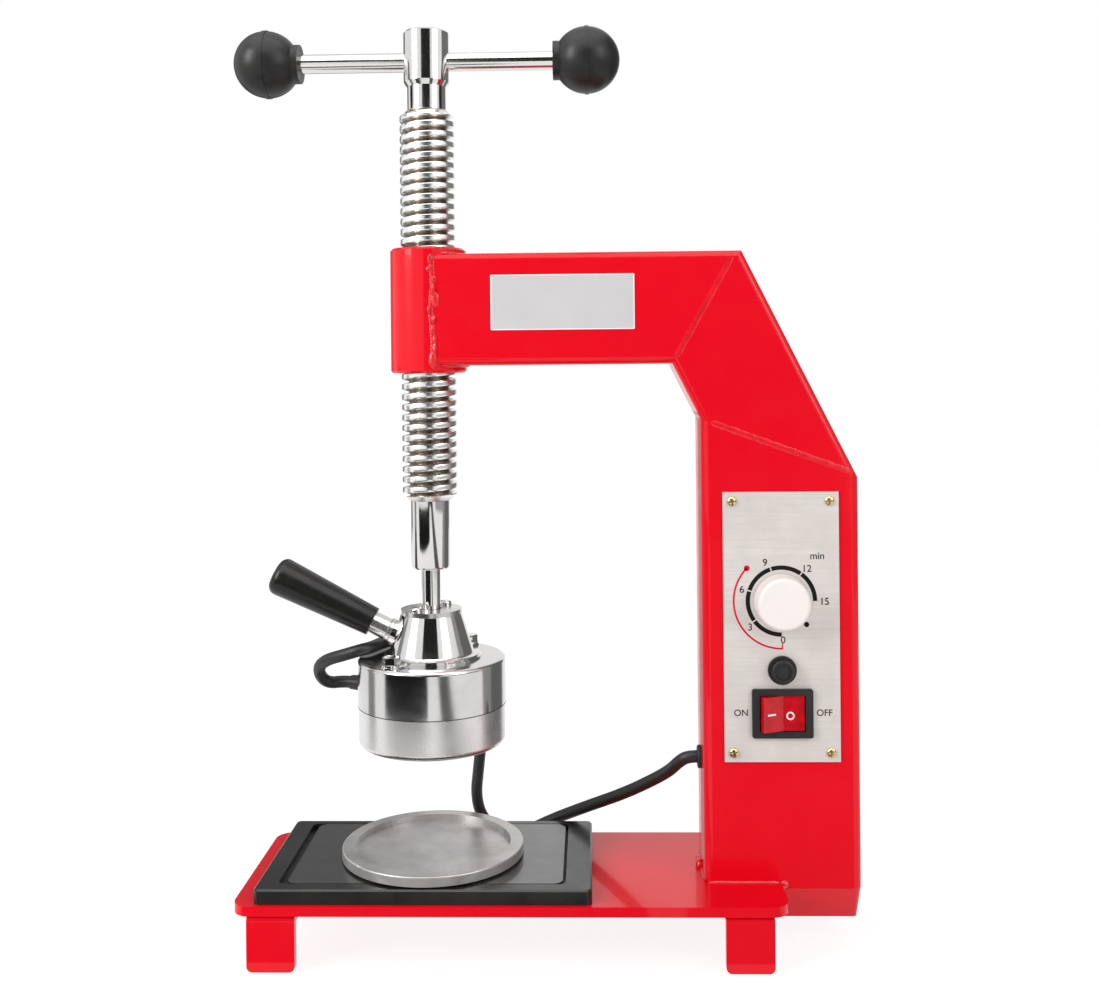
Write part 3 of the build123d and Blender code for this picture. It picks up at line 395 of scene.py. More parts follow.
RED_PAINT = red_paint()
WELD_PAINT = weld_paint()
CHROME = polished("polished_chrome", STEEL, 0.05, 0.15)
CAP_STEEL = polished("ground_cap", (0.66, 0.65, 0.63), 0.22, 0.34, depth=0.000012)
BAR_STEEL = bar_steel()
THREAD_STEEL = thread_steel()
HEATER_METAL = heater_metal()
CAST_GREY = cast_grey()
PHENOLIC = plastic("black_phenolic", BLACK, 0.32, 0.44, specular_ior_level=0.32)
GRIP_BLACK = plastic("glossy_grip", (0.008, 0.0075, 0.007), 0.24, 0.34,
                     specular_ior_level=0.36)
COVER_STEEL = polished("drawn_cover", (0.66, 0.645, 0.64), 0.10, 0.19, depth=0.000006)
CORD_RUBBER = plastic("black_cord", (0.014, 0.0135, 0.013), 0.38, 0.5, grain=1500)
TRAY_ENAMEL = tray_enamel()
MAT_BLACK = mat_black()
PANEL_PLATE = panel_plate()
KNOB_WHITE = plastic("white_knob", (0.86, 0.80, 0.775), 0.34, 0.44, spread=1.05)
SWITCH_BLACK = plastic("black_switch", (0.014, 0.013, 0.013), 0.35, 0.5)
ROCKER_RED = rocker_red()
BRASS = polished("yellow_passivated", (0.70, 0.55, 0.27), 0.16, 0.3, (0, 0, 0), 3000)
INNER_WHITE = plastic("mica_board", (0.72, 0.70, 0.64), 0.5, 0.65)
FUSE_GLASS = glass_tube()
PRINT_BLACK = plastic("black_print", (0.010, 0.0095, 0.009), 0.6, 0.7,
                      specular_ior_level=0.1)
PRINT_RED = plastic("red_print", (0.60, 0.004, 0.022), 0.5, 0.6, specular_ior_level=0.1)
PRINT_WHITE = plastic("white_print", (0.86, 0.84, 0.82), 0.4, 0.5, spread=1.05)
LABEL_GREY = plastic("bare_label", (0.57, 0.56, 0.565), 0.36, 0.46, spread=1.06)
LABEL_EDGE = plastic("label_edge", (0.90, 0.87, 0.87), 0.40, 0.50, spread=1.05)
# Near-black for painted shade, laid in the seam under the head's cover and in the tray's groove.
SEAM_SHADE_BLACK = plastic("painted_seam_shade", (0.006, 0.006, 0.006), 0.5, 0.7)

SLOT_MATERIALS = {
    "red_paint": RED_PAINT,
    "bright_steel": CHROME,
    "screw_steel": THREAD_STEEL,
    "heater_aluminium": HEATER_METAL,
    "cast_grey": CAST_GREY,
    "tray_black": TRAY_ENAMEL,
    "inset_black": MAT_BLACK,
    "knob_black": PHENOLIC,
    "cord_black": CORD_RUBBER,
    "panel_steel": PANEL_PLATE,
    "knob_white": KNOB_WHITE,
    "switch_black": SWITCH_BLACK,
    "switch_red": ROCKER_RED,
    "brass_plate": BRASS,
    "inner_white": INNER_WHITE,
    "fuse_glass": FUSE_GLASS,
}
NODE_MATERIALS = {
    "tommy_bar": BAR_STEEL,
    "cone_cap": CAP_STEEL,
    "head_cover": COVER_STEEL,
    "handle_grip": GRIP_BLACK,
    "handle_rod": CAP_STEEL,
    "handle_boss": CAP_STEEL,
    "handle_collar": CAP_STEEL,
}


def dress_nodes():
    """Gives every node the finish of its slot."""
    for part in frame["record"]["subparts"]:
        node = NODES[part["node"]]
        finish = NODE_MATERIALS.get(part["node"], SLOT_MATERIALS[part["material_slot"]])
        node.data.materials.clear()
        node.data.materials.append(finish)


# -------- making pieces
SMOOTH_ANGLE = radians(32)


def mesh_of(name, vertices, faces, smooth=SMOOTH_ANGLE):
    """A closed mesh with its faces outwards, smooth except at its sharp edges."""
    mesh = bpy.data.meshes.new(name)
    mesh.from_pydata(vertices, [], faces)
    return finished(mesh, smooth)


def finished(mesh, smooth=SMOOTH_ANGLE):
    """Cleans a mesh, turns its faces outwards and shades it."""
    work = bmesh.new()
    work.from_mesh(mesh)
    bmesh.ops.remove_doubles(work, verts=work.verts, dist=1e-7)
    bmesh.ops.recalc_face_normals(work, faces=work.faces)
    work.to_mesh(mesh)
    work.free()
    for face in mesh.polygons:
        face.use_smooth = True
    mesh.set_sharp_from_angle(angle=smooth)
    return mesh


def piece(name, mesh, body, material, replaces=()):
    """Places a finished mesh on a body."""
    made = bpy.data.objects.new(name, mesh)
    bpy.context.scene.collection.objects.link(made)
    mesh.materials.clear()
    mesh.materials.append(material)
    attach(made, body)
    if replaces:
        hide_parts(*replaces)


def joined(name, meshes):
    """One mesh from several."""
    work = bmesh.new()
    for mesh in meshes:
        work.from_mesh(mesh)
    mesh = bpy.data.meshes.new(name)
    work.to_mesh(mesh)
    work.free()
    return mesh


def lathe(name, profile, place=Matrix(), segments=96):
    """A turned mesh from (radius, height) pairs, closed on its axis where the radius is 0."""
    vertices = []
    rows = []
    for radius, height in profile:
        if radius < 1e-9:
            rows.append([len(vertices)] * segments)
            vertices.append(place @ Vector((0, 0, height)))
            continue
        rows.append(list(range(len(vertices), len(vertices) + segments)))
        for step in range(segments):
            angle = 2 * pi * step / segments
            vertices.append(place @ Vector((radius * cos(angle), radius * sin(angle), height)))
    faces = []
    for lower, upper in zip(rows, rows[1:]):
        for step in range(segments):
            after = (step + 1) % segments
            corners = (lower[step], lower[after], upper[after], upper[step])
            faces.append(tuple(dict.fromkeys(corners)))
    if profile[0][0] > 1e-9 and profile[0] != profile[-1]:
        faces.append(tuple(rows[0]))
        faces.append(tuple(rows[-1]))
    return mesh_of(name, vertices, [face for face in faces if len(face) > 2])


def plate(name, outline, depth, place):
    """A flat piece: an outline in its own x and y, pushed out by depth along its z."""
    count = len(outline)
    vertices = [place @ Vector((x, y, 0)) for x, y in outline]
    vertices += [place @ Vector((x, y, depth)) for x, y in outline]
    faces = [tuple(range(count)), tuple(range(count, 2 * count))]
    for step in range(count):
        after = (step + 1) % count
        faces.append((step, after, after + count, step + count))
    return mesh_of(name, vertices, faces)


def on_front(point):
    """A frame on an upright face that looks at the user: x right, y up, z out of the face."""
    return Matrix.Translation(point) @ Matrix.Rotation(pi / 2, 4, "X")


def sweep(name, path, ring_at, sides=20):
    """A closed mesh that carries a ring along a path. ring_at gives each ring's own outline."""
    count = len(path)
    tangents = []
    for step in range(count):
        ahead = path[min(step + 1, count - 1)]
        behind = path[max(step - 1, 0)]
        tangents.append((ahead - behind).normalized())
    side = tangents[0].orthogonal().normalized()
    vertices = []
    for step, (point, tangent) in enumerate(zip(path, tangents)):
        side = (side - tangent * side.dot(tangent)).normalized()
        other = tangent.cross(side)
        vertices += ring_at(step, point, side, other, sides)
    faces = [tuple(range(sides)), tuple(range((count - 1) * sides, count * sides))]
    for row in range(count - 1):
        for step in range(sides):
            after = (step + 1) % sides
            start = row * sides
            faces.append((start + step, start + after, start + sides + after, start + sides + step))
    return mesh_of(name, vertices, faces, radians(60))


def tube(name, path, radius, sides=20):
    """A round tube along a path."""

    def ring(step, point, side, other, count):
        """The round outline about one point."""
        angles = [2 * pi * turn / count for turn in range(count)]
        return [point + radius * (cos(a) * side + sin(a) * other) for a in angles]

    return sweep(name, path, ring, sides)


# -------- cords
CORD_RADIUS = 3.25 * MM
GLAND_TURN = radians(160)
GLAND_TIP = 49.0
GLAND_Z = 127.1
LEAD_OUT = 5.0
GROMMET = (140.0, 0.0, 91.5)
HEAD_CORD_ROUTE = [
    (GLAND_TIP * cos(GLAND_TURN), GLAND_TIP * sin(GLAND_TURN), GLAND_Z),
    ((GLAND_TIP + LEAD_OUT) * cos(GLAND_TURN), (GLAND_TIP + LEAD_OUT) * sin(GLAND_TURN), GLAND_Z),
    (-58.8, 17.8, 126.4),
    (-62.9, 15.2, 130.6),
    (-62.8, 10.5, 137.2),
    (-57.0, 4.5, 142.2),
    (-47.0, -1.0, 145.8),
    (-37.5, -3.5, 149.0),
    (-31.8, 2.0, 149.4),
    (-28.5, 14.0, 149.4),
    (-18.0, 27.0, 149.4),
    (-2.0, 35.0, 149.4),
    (12.0, 42.5, 146.0),
    (18.5, 48.3, 132.0),
    (19.8, 50.0, 118.0),
]
LEAD_CORD_ROUTE = [
    (19.8, 50.0, 118.0),
    (21.1, 51.7, 104.0),
    (21.3, 53.5, 87.0),
    (19.2, 56.0, 68.0),
    (17.2, 58.0, 51.5),
    (20.5, 60.0, 37.5),
    (31.0, 61.5, 28.5),
    (45.5, 61.0, 29.0),
    (59.5, 57.5, 37.0),
    (78.0, 48.5, 47.2),
    (102.0, 31.0, 61.5),
    (118.0, 18.0, 73.5),
    (126.3, 9.2, 81.3),
    (130.6, 2.8, 87.9),
    (GROMMET[0] - LEAD_OUT, GROMMET[1], GROMMET[2]),
    GROMMET,
]


def spline_through(route, resolution=16):
    """The points of a smooth spline whose control points are the route."""
    curve = bpy.data.curves.new("route", "CURVE")
    curve.dimensions = "3D"
    curve.resolution_u = resolution
    spline = curve.splines.new("NURBS")
    spline.points.add(len(route) - 1)
    for control, point in zip(spline.points, route):
        control.co = (*near_axis(*point), 1)
    spline.order_u = 3
    spline.use_endpoint_u = True
    holder = bpy.data.objects.new("route", curve)
    bpy.context.scene.collection.objects.link(holder)
    bpy.context.view_layer.update()
    mesh = bpy.data.meshes.new_from_object(holder)
    path = [vertex.co.copy() for vertex in mesh.vertices]
    bpy.data.objects.remove(holder)
    return path


def make_cords():
    """The two stretches of the head's lead, which meet where the pin carries them."""
    head_path = spline_through(HEAD_CORD_ROUTE)
    head_mesh = tube("head_cord_tube", head_path, CORD_RADIUS)
    head_cord = bpy.data.objects.new("head_cord_tube", head_mesh)
    lead_path = spline_through(list(reversed(LEAD_CORD_ROUTE)))
    lead_mesh = tube("lead_cord_tube", lead_path, CORD_RADIUS)
    lead_cord = bpy.data.objects.new("lead_cord_tube", lead_mesh)
    for cord, node in ((head_cord, "head_cord"), (lead_cord, "lead_cord")):
        bpy.context.scene.collection.objects.link(cord)
        cord.data.materials.append(CORD_RUBBER)
        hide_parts(node)
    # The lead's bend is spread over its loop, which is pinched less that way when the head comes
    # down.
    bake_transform(head_cord)
    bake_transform(lead_cord)


# -------- the screw's thread
THREAD_PITCH = 5.45 * MM
THREAD_CREST = 14.5 * MM
THREAD_ROOT = 10.35 * MM
THREAD_BOTTOM = 227.9 * MM
THREAD_TOP = 434.2 * MM
THREAD_STEPS = 12
THREAD_SIDES = 60
CREST_HALF = 0.46  # the flat crest's share of half a pitch
FLANK_END = 0.95  # where the flank meets the root, as a share of half a pitch
THREAD_RUNOUT = 0.3 * MM
SPINDLE_BOTTOM = low("spindle").z
SPINDLE_TOP = high("spindle").z
HUB_BOTTOM = low("spindle_hub").z
SPINDLE_END = 10.2 * MM
SPINDLE_EDGE = 1.5 * MM
PIN_BORE = 5.15 * MM
PIN_TOP = high("swivel_pin").z
NECK = 10.3 * MM
STUB = 6.0 * MM


def thread_radius(turn):
    """The radius across one pitch, from the root through the rounded crest and back."""
    reach = abs(turn % 1 - 0.5) * 2
    share = min(1, max(0, (FLANK_END - reach) / (FLANK_END - CREST_HALF)))
    rounded = share * share * (3 - 2 * share)
    return THREAD_ROOT + (THREAD_CREST - THREAD_ROOT) * (0.3 * share + 0.7 * rounded)


def make_thread():
    """A right-hand thread, cut square and chamfered at both ends."""
    turns = int((THREAD_TOP - THREAD_BOTTOM) / THREAD_PITCH) + 3
    start = THREAD_BOTTOM - THREAD_PITCH
    rows = turns * THREAD_STEPS
    work = bmesh.new()
    columns = []
    for side in range(THREAD_SIDES):
        angle = 2 * pi * side / THREAD_SIDES
        column = []
        for row in range(rows):
            height = start + THREAD_PITCH * (row / THREAD_STEPS + side / THREAD_SIDES)
            from_end = min(height - THREAD_BOTTOM, THREAD_TOP - height)
            radius = min(thread_radius(row / THREAD_STEPS),
                         THREAD_ROOT + THREAD_RUNOUT + max(0, 1.1 * from_end))
            place = (AXIS_X + radius * cos(angle), radius * sin(angle), height)
            column.append(work.verts.new(place))
        columns.append(column)
    for side in range(THREAD_SIDES):
        here = columns[side]
        after = columns[(side + 1) % THREAD_SIDES]
        shift = THREAD_STEPS if side == THREAD_SIDES - 1 else 0
        for row in range(rows - 1 - shift):
            work.faces.new((here[row], after[row + shift], after[row + shift + 1], here[row + 1]))
    for cut, facing in ((THREAD_BOTTOM, -1), (THREAD_TOP, 1)):
        everything = work.verts[:] + work.edges[:] + work.faces[:]
        made = bmesh.ops.bisect_plane(work, geom=everything, plane_co=(0, 0, cut),
                                      plane_no=(0, 0, facing), clear_outer=True)
        rim = [part for part in made["geom_cut"] if isinstance(part, bmesh.types.BMEdge)]
        bmesh.ops.edgeloop_fill(work, edges=rim)
    mesh = bpy.data.meshes.new("thread")
    work.to_mesh(mesh)
    work.free()
    return finished(mesh, radians(50))


def make_spindle():
    """The spindle with its real thread, in place of the plain one."""
    spot = Matrix.Translation((AXIS_X, 0, 0))
    overlap = 0.4 * MM
    end = lathe("spindle_end", [
        (0, PIN_TOP + 0.2 * MM), (PIN_BORE, PIN_TOP + 0.2 * MM), (PIN_BORE, SPINDLE_BOTTOM),
        (SPINDLE_END - SPINDLE_EDGE, SPINDLE_BOTTOM), (SPINDLE_END - 0.45 * SPINDLE_EDGE,
                                                       SPINDLE_BOTTOM + 0.2 * SPINDLE_EDGE),
        (SPINDLE_END, SPINDLE_BOTTOM + SPINDLE_EDGE), (SPINDLE_END, THREAD_BOTTOM + overlap),
        (0, THREAD_BOTTOM + overlap)], spot)
    neck = lathe("spindle_neck", [
        (0, THREAD_TOP - overlap), (NECK, THREAD_TOP - overlap), (NECK, HUB_BOTTOM),
        (STUB, HUB_BOTTOM), (STUB, SPINDLE_TOP), (0, SPINDLE_TOP)], spot)
    piece("spindle_thread", make_thread(), "screw", THREAD_STEEL, ["spindle"])
    piece("spindle_turned", finished(joined("spindle_turned", [end, neck])), "screw", CHROME,
          ["spindle"])


# -------- welds
def weld(name, route, width, height, up, seed):
    """A rippled bead along a route of points, half sunk in the corner that it fills."""
    path = []
    step = 0.35 * MM
    for start, end in zip(route, route[1:]):
        count = max(2, int((end - start).length / step))
        path += [start.lerp(end, turn / count) for turn in range(count)]
    path.append(route[-1])
    ripple = 1.7 * MM
    total = len(path)

    def ring(row, point, side, other, count):
        """The outline of the bead, which ripples along it and runs out at its ends."""
        along = row * step
        wave = 0.86 + 0.14 * abs(sin(pi * along / ripple))
        drift = 1 + 0.28 * noise.noise(Vector((along * 260, seed, 0)))
        ends = min(1, (row + 0.4) / 6, (total - 1 - row + 0.4) / 6) ** 0.5
        across = up.cross(path[min(row + 1, total - 1)] - path[max(row - 1, 0)]).normalized()
        size = wave * drift * ends
        return [point + across * (width / 2 * size * cos(2 * pi * turn / count))
                + up * (height * size * sin(2 * pi * turn / count)) for turn in range(count)]

    mesh = sweep(name, path, ring, 14)
    piece(name, finished(mesh, radians(70)), "frame", WELD_PAINT)


def blob(name, spot, size, seed):
    """A lump of weld with an uneven skin."""
    work = bmesh.new()
    bmesh.ops.create_icosphere(work, subdivisions=3, radius=1)
    for vertex in work.verts:
        swell = 1 + 0.22 * noise.noise(vertex.co * 1.7 + Vector((seed, seed, 0)))
        stretched = [part * scale * swell for part, scale in zip(vertex.co, size)]
        vertex.co = Vector(spot) + Vector(stretched)
    mesh = bpy.data.meshes.new(name)
    work.to_mesh(mesh)
    work.free()
    piece(name, finished(mesh, radians(80)), "frame", WELD_PAINT)


# Millimetres, measured as near_axis takes them
ARM_START = 4.0
NUT_RADIUS = 20.0
INNER_LOW = (142.0, 270.5)
OUTER_LOW = (222.0, 241.4)
INNER_TOP = (127.8, 299.0)
OUTER_TOP = (160.4, 357.0)
NUT_SEAM = ((0, 299.5), (0.6, 312), (-0.5, 326), (0.4, 341), (0.1, 356.5))  # drift and height
SEAM_SUNK = 0.985  # the seam's share of the face's distance from the middle
LUMPS = 11
FIRST_LUMP = 302
LUMP_STEP = 5.2
MITRE_MARGIN = 0.06  # the share left bare at each end
LOWER_MITRE_HEIGHT = 0.22
UPPER_MITRE_HEIGHT = 0.10


def make_nut_seam(y, side, up, number):
    """The uneven bead between the nut and one face of the arm, with its lumps."""
    seam = y * SEAM_SUNK
    route = [near_axis(ARM_START + drift, seam, z) for drift, z in NUT_SEAM]
    weld("nut_weld_" + side, route, 3.0 * MM, 0.7 * MM, up, 3 + number)
    random.seed(5 + number)
    for lump in range(LUMPS):
        spot = near_axis(ARM_START + random.uniform(-1.8, 1.8), seam, FIRST_LUMP + LUMP_STEP * lump)
        size = (random.uniform(1.1, 2.6) * MM, random.uniform(0.9, 1.7) * MM,
                random.uniform(1.6, 4.6) * MM)
        blob(f"nut_lump_{side}_{lump}", spot, size, random.uniform(0, 9))


def make_mitre(name, y, start, end, height, up, seed):
    """A low bead along a mitre of the frame."""
    route = [near_axis(start[0] + (end[0] - start[0]) * share, y,
                       start[1] + (end[1] - start[1]) * share)
             for share in (MITRE_MARGIN, 0.5, 1 - MITRE_MARGIN)]
    weld(name, route, 3.2 * MM, height * MM, up, seed)


def make_welds():
    """Beads round the nut, along the two mitres and at the foot of the post."""
    faces = ((FRAME_FRONT, -1, "front"), (FRAME_BACK, 1, "back"))
    for number, (face, way, side) in enumerate(faces):
        y, up = face / MM, Vector((0, way, 0))
        make_nut_seam(y, side, up, number)
        make_mitre("lower_mitre_weld_" + side, y, INNER_LOW, OUTER_LOW, LOWER_MITRE_HEIGHT, up,
                   11 + number)
        make_mitre("upper_mitre_weld_" + side, y, INNER_TOP, OUTER_TOP, UPPER_MITRE_HEIGHT, up,
                   11 + number)
    for level, way, name in ((ARM_TOP, 1, "top"), (ARM_BOTTOM, -1, "under")):
        turns = [radians(angle) for angle in range(-64, 65, 8)]
        points = [Vector((AXIS_X + NUT_RADIUS * MM * cos(turn), NUT_RADIUS * MM * sin(turn), level))
                  for turn in turns]
        weld("nut_weld_" + name, points, 3.4 * MM, 1.1 * MM, Vector((0, 0, way)), 21)
    foot_x = (POST_LEFT + 2 * MM, POST_X - 20 * MM, BASE_RIGHT - 1.0 * MM)
    for number, (face, way, side) in enumerate(faces):
        weld("foot_weld_" + side, [Vector((x, face, BASE_TOP)) for x in foot_x], 2.2 * MM, 0.9 * MM,
             Vector((0, 0.7 * way, 0.7)), 31 + number)
    foot_left = [Vector((POST_LEFT, y * MM, BASE_TOP)) for y in (-17, 0, 17)]
    weld("foot_weld_left", foot_left, 2.6 * MM, 1.0 * MM, Vector((-0.7, 0, 0.7)), 33)
    blob("weld_lump_left", near_axis(141.0, 1.5, 34.2), (2.0 * MM, 3.2 * MM, 2.6 * MM), 1.3)
    blob("weld_lump_right", near_axis(182.4, -19.4, 32.0), (2.4 * MM, 1.8 * MM, 2.2 * MM), 4.1)


# -------- printed marks
PRINT_RISE = 0.04 * MM
RING_RADIUS = 17.1
RING_WIDTH = 2.2
MINUTE = radians(18)
TICK_GAP = radians(2.2)
RED_ARC_RADIUS = 24.3
RED_ARC_WIDTH = 0.95
RED_ARC_END = radians(134)
DIGITS = ((0, 0.7, -20.0), (3, -16.0, -13.4), (6, -20.1, 5.9), (9, -8.2, 19.6), (12, 13.0, 16.4),
          (15, 21.9, -0.4))
DIGIT_HEIGHT = 3.5
WORD_HEIGHT = 3.2
CAPITAL_SHARE = 0.69  # a capital's height as a share of the text size
INK_SPREAD = 0.045 * MM
RED_ARC_TIP = 1.5
HOLD_DOT = (12.7, -12.0, 1.35)


def dial_point(radius, turn):
    """A point on the dial's face, clockwise from straight down, in millimetres."""
    return (-radius * sin(turn), -radius * cos(turn))


def band(radius, width, start, end):
    """A flat arc printed round the dial."""
    count = max(4, int((end - start) / radians(2)))
    turns = [start + (end - start) * step / count for step in range(count + 1)]
    outline = [dial_point(radius + width / 2, turn) for turn in turns]
    outline += [dial_point(radius - width / 2, turn) for turn in reversed(turns)]
    return outline


def printed(name, outlines, place, material, body="frame"):
    """Ink of an even thickness on a flat face."""
    meshes = [plate(name, [(x * MM, y * MM) for x, y in outline], PRINT_RISE, place)
              for outline in outlines]
    piece(name, finished(joined(name, meshes)), body, material)


def disc(x, y, radius, count=32):
    """The outline of a round dot."""
    return [(x + radius * cos(2 * pi * step / count), y + radius * sin(2 * pi * step / count))
            for step in range(count)]


def words(name, text, x, y, height, place, material):
    """A short text, centred on a point of a face."""
    curve = bpy.data.curves.new(name, "FONT")
    curve.body = text
    curve.align_x = "CENTER"
    curve.align_y = "CENTER"
    curve.size = height * MM / CAPITAL_SHARE
    curve.extrude = PRINT_RISE / 2
    curve.offset = INK_SPREAD
    holder = bpy.data.objects.new(name, curve)
    bpy.context.scene.collection.objects.link(holder)
    bpy.context.view_layer.update()
    mesh = bpy.data.meshes.new_from_object(holder)
    bpy.data.objects.remove(holder)
    mesh.transform(place @ Matrix.Translation((x * MM, y * MM, PRINT_RISE / 2)))
    piece(name, finished(mesh), "frame", material)


def make_dial_print():
    """The timer's scale, the arc of its automatic range and the few marks by the switch."""
    dial = on_front(DIAL)
    scale = []
    for minute in range(0, 15, 3):
        first = minute * MINUTE + (TICK_GAP / 2 if minute else 0)
        last = (minute + 3) * MINUTE - (TICK_GAP / 2 if minute < 12 else 0)
        scale.append(band(RING_RADIUS, RING_WIDTH, first, last))
    printed("minute_scale", scale, dial, PRINT_BLACK)
    hook = [(0.0, -24.65), (0.7, -24.65), (0.7, -21.6), (0.05, -21.6)]
    arc = band(RED_ARC_RADIUS, RED_ARC_WIDTH, 0, RED_ARC_END)
    tip = dial_point(RED_ARC_RADIUS, RED_ARC_END)
    printed("range_arc", [arc, hook, disc(*tip, RED_ARC_TIP)], dial, PRINT_RED)
    printed("hold_dot", [disc(*HOLD_DOT)], dial, PRINT_BLACK)
    for number, x, y in DIGITS:
        words(f"digit_{number}", str(number), x, y, DIGIT_HEIGHT, dial, PRINT_BLACK)
    words("minutes_word", "min", 18.4, 22.9, DIGIT_HEIGHT, dial, PRINT_BLACK)
    switch = on_front(SWITCH)
    words("on_word", "ON", -21.0, 0.0, WORD_HEIGHT, switch, PRINT_BLACK)
    words("off_word", "OFF", 21.4, 0.0, WORD_HEIGHT, switch, PRINT_BLACK)


ROCKER_PIVOT_Y = -20.2
ROCKER_HALF_ANGLE = radians(12)
ROCKER_REACH = 10.6
ROCKER_RADIUS = 11.3
RING_OUTER, RING_INNER = 2.1, 1.35
RING_X, RING_Y = 3.6, -1.2


def make_rocker_marks():
    """A bar on the rocker's left half and a ring on its right half."""
    valley = (ROCKER_RADIUS**2 - ROCKER_REACH**2) ** 0.5
    valley -= ROCKER_REACH * tan(ROCKER_HALF_ANGLE)
    pivot = Matrix.Translation((SWITCH.x, ROCKER_PIVOT_Y * MM, SWITCH.z))
    pressed = pivot @ Matrix.Rotation(ROCKER_HALF_ANGLE, 4, "Z")
    pressed = pressed @ Matrix.Translation((0, -valley * MM, 0))
    upright = Matrix.Rotation(pi / 2, 4, "X")
    left = pressed @ Matrix.Rotation(ROCKER_HALF_ANGLE, 4, "Z") @ upright
    right = pressed @ Matrix.Rotation(-ROCKER_HALF_ANGLE, 4, "Z") @ upright
    bar = [(-9.0, -0.55), (-4.4, -0.55), (-4.4, 0.35), (-9.0, 0.35)]
    printed("on_bar", [bar], left, PRINT_WHITE, "rocker")
    ring = []
    for quarter in range(4):
        turns = [pi / 2 * quarter + pi / 2 * step / 8 for step in range(9)]
        outline = [(RING_X + RING_OUTER * cos(turn), RING_Y + RING_OUTER * sin(turn))
                   for turn in turns]
        outline += [(RING_X + RING_INNER * cos(turn), RING_Y + RING_INNER * sin(turn))
                    for turn in reversed(turns)]
        ring.append(outline)
    printed("off_ring", ring, right, PRINT_WHITE, "rocker")


# -------- small fittings
def rounded_box(width, height, corner, steps=5):
    """The outline of a rectangle with round corners, in millimetres, about its own centre."""
    outline = []
    for quarter, (x, y) in enumerate(((1, 1), (-1, 1), (-1, -1), (1, -1))):
        for step in range(steps + 1):
            turn = pi / 2 * (quarter + step / steps)
            outline.append((x * (width / 2 - corner) + corner * cos(turn),
                            y * (height / 2 - corner) + corner * sin(turn)))
    return outline


LABEL_LEFT, LABEL_RIGHT = 34.5, 108.5
LABEL_LOW, LABEL_HIGH = 317.0, 345.5
LABEL_BORDER = 1.1  # both sides together


def make_label():
    """The plate on the arm, left bare, with a thin light edge."""
    centre = near_axis((LABEL_LEFT + LABEL_RIGHT) / 2, FRAME_FRONT / MM,
                       (LABEL_LOW + LABEL_HIGH) / 2)
    face = on_front(centre)
    width, height = LABEL_RIGHT - LABEL_LEFT, LABEL_HIGH - LABEL_LOW
    edge = [(x * MM, y * MM) for x, y in rounded_box(width, height, 0.5)]
    field = [(x * MM, y * MM)
             for x, y in rounded_box(width - LABEL_BORDER, height - LABEL_BORDER, 0.3)]
    piece("label_plate", plate("label_plate", edge, 0.40 * MM, face), "frame", LABEL_EDGE)
    piece("label_field", plate("label_field", field, 0.45 * MM, face), "frame", LABEL_GREY)


SEAM_HALF = 0.22 * MM
SEAM_STAND = 0.03 * MM
SEAM_IN = 1.0 * MM
POCKET_DEPTH = 3.2 * MM
RIM_LEFT, RIM_RIGHT, RIM_FRONT, RIM_BACK = 10.8, 13.0, 7.6, 5.0
POCKET_CORNER = 3.4


def make_seams():
    """Painted shade: a dark ring for the shaded seam under the head's cover, and a dark sheet for
    the shaded floor round the tray's inset.
    """
    radius = (high("head_cover").x - low("head_cover").x) / 2
    spot = Matrix.Translation((AXIS_X, 0, low("head_cover").z))
    inner, outer = radius - SEAM_IN, radius + SEAM_STAND
    profile = [(inner, -SEAM_HALF), (outer, -SEAM_HALF), (outer, SEAM_HALF), (inner, SEAM_HALF),
               (inner, -SEAM_HALF)]
    # The ring is painted shade: a dark band for the shaded gap between the cover and the plate.
    ring = lathe("head_seam_shade", profile, spot, 128)
    piece("head_seam_shade", ring, "head", SEAM_SHADE_BLACK)
    tray_low, tray_high = low("tray_frame") / MM, high("tray_frame") / MM
    left, right = tray_low.x + RIM_LEFT, tray_high.x - RIM_RIGHT
    front, back = tray_low.y + RIM_FRONT, tray_high.y - RIM_BACK
    centre = Vector((left + right, front + back, 0)) * MM / 2
    centre.z = high("tray_frame").z - POCKET_DEPTH
    outline = [(x * MM, y * MM) for x, y in rounded_box(right - left, back - front, POCKET_CORNER)]
    # A dark sheet on the pocket's floor: painted shade in the groove round the inset.
    floor = plate("tray_groove_shade", outline, 0.15 * MM, Matrix.Translation(centre))
    piece("tray_groove_shade", floor, "frame", SEAM_SHADE_BLACK)


def cross_head(name, place, radius, height, shank):
    """A domed screw head with a cross recess."""
    neck = 0.6 * radius
    profile = [(0, -shank), (neck, -shank), (neck, 0), (radius, 0), (radius, 0.2 * height)]
    for step in range(1, 9):
        turn = pi / 2 * step / 8
        profile.append((radius * cos(turn), height * (0.2 + 0.8 * sin(turn))))
    profile[-1] = (0, height)
    head = bpy.data.objects.new(name, lathe(name, profile, segments=32))
    cutters = bpy.data.meshes.new(name + "_cross")
    work = bmesh.new()
    for angle in (0, pi / 2):
        turn = Matrix.Translation((0, 0, height)) @ Matrix.Rotation(angle, 4, "Z")
        size = Matrix.Diagonal((1.25 * radius, 0.24 * radius, 1.2 * height, 1))
        bmesh.ops.create_cube(work, size=1, matrix=turn @ size)
    work.to_mesh(cutters)
    work.free()
    cross = bpy.data.objects.new(name + "_cross", cutters)
    for made in (head, cross):
        bpy.context.scene.collection.objects.link(made)
    cut = head.modifiers.new("cross", "BOOLEAN")
    cut.operation = "DIFFERENCE"
    cut.solver = "EXACT"
    cut.use_self = True
    cut.object = cross
    bpy.context.view_layer.update()
    graph = bpy.context.evaluated_depsgraph_get()
    mesh = bpy.data.meshes.new_from_object(head.evaluated_get(graph))
    bpy.data.objects.remove(head)
    bpy.data.objects.remove(cross)
    mesh.transform(place)
    return mesh


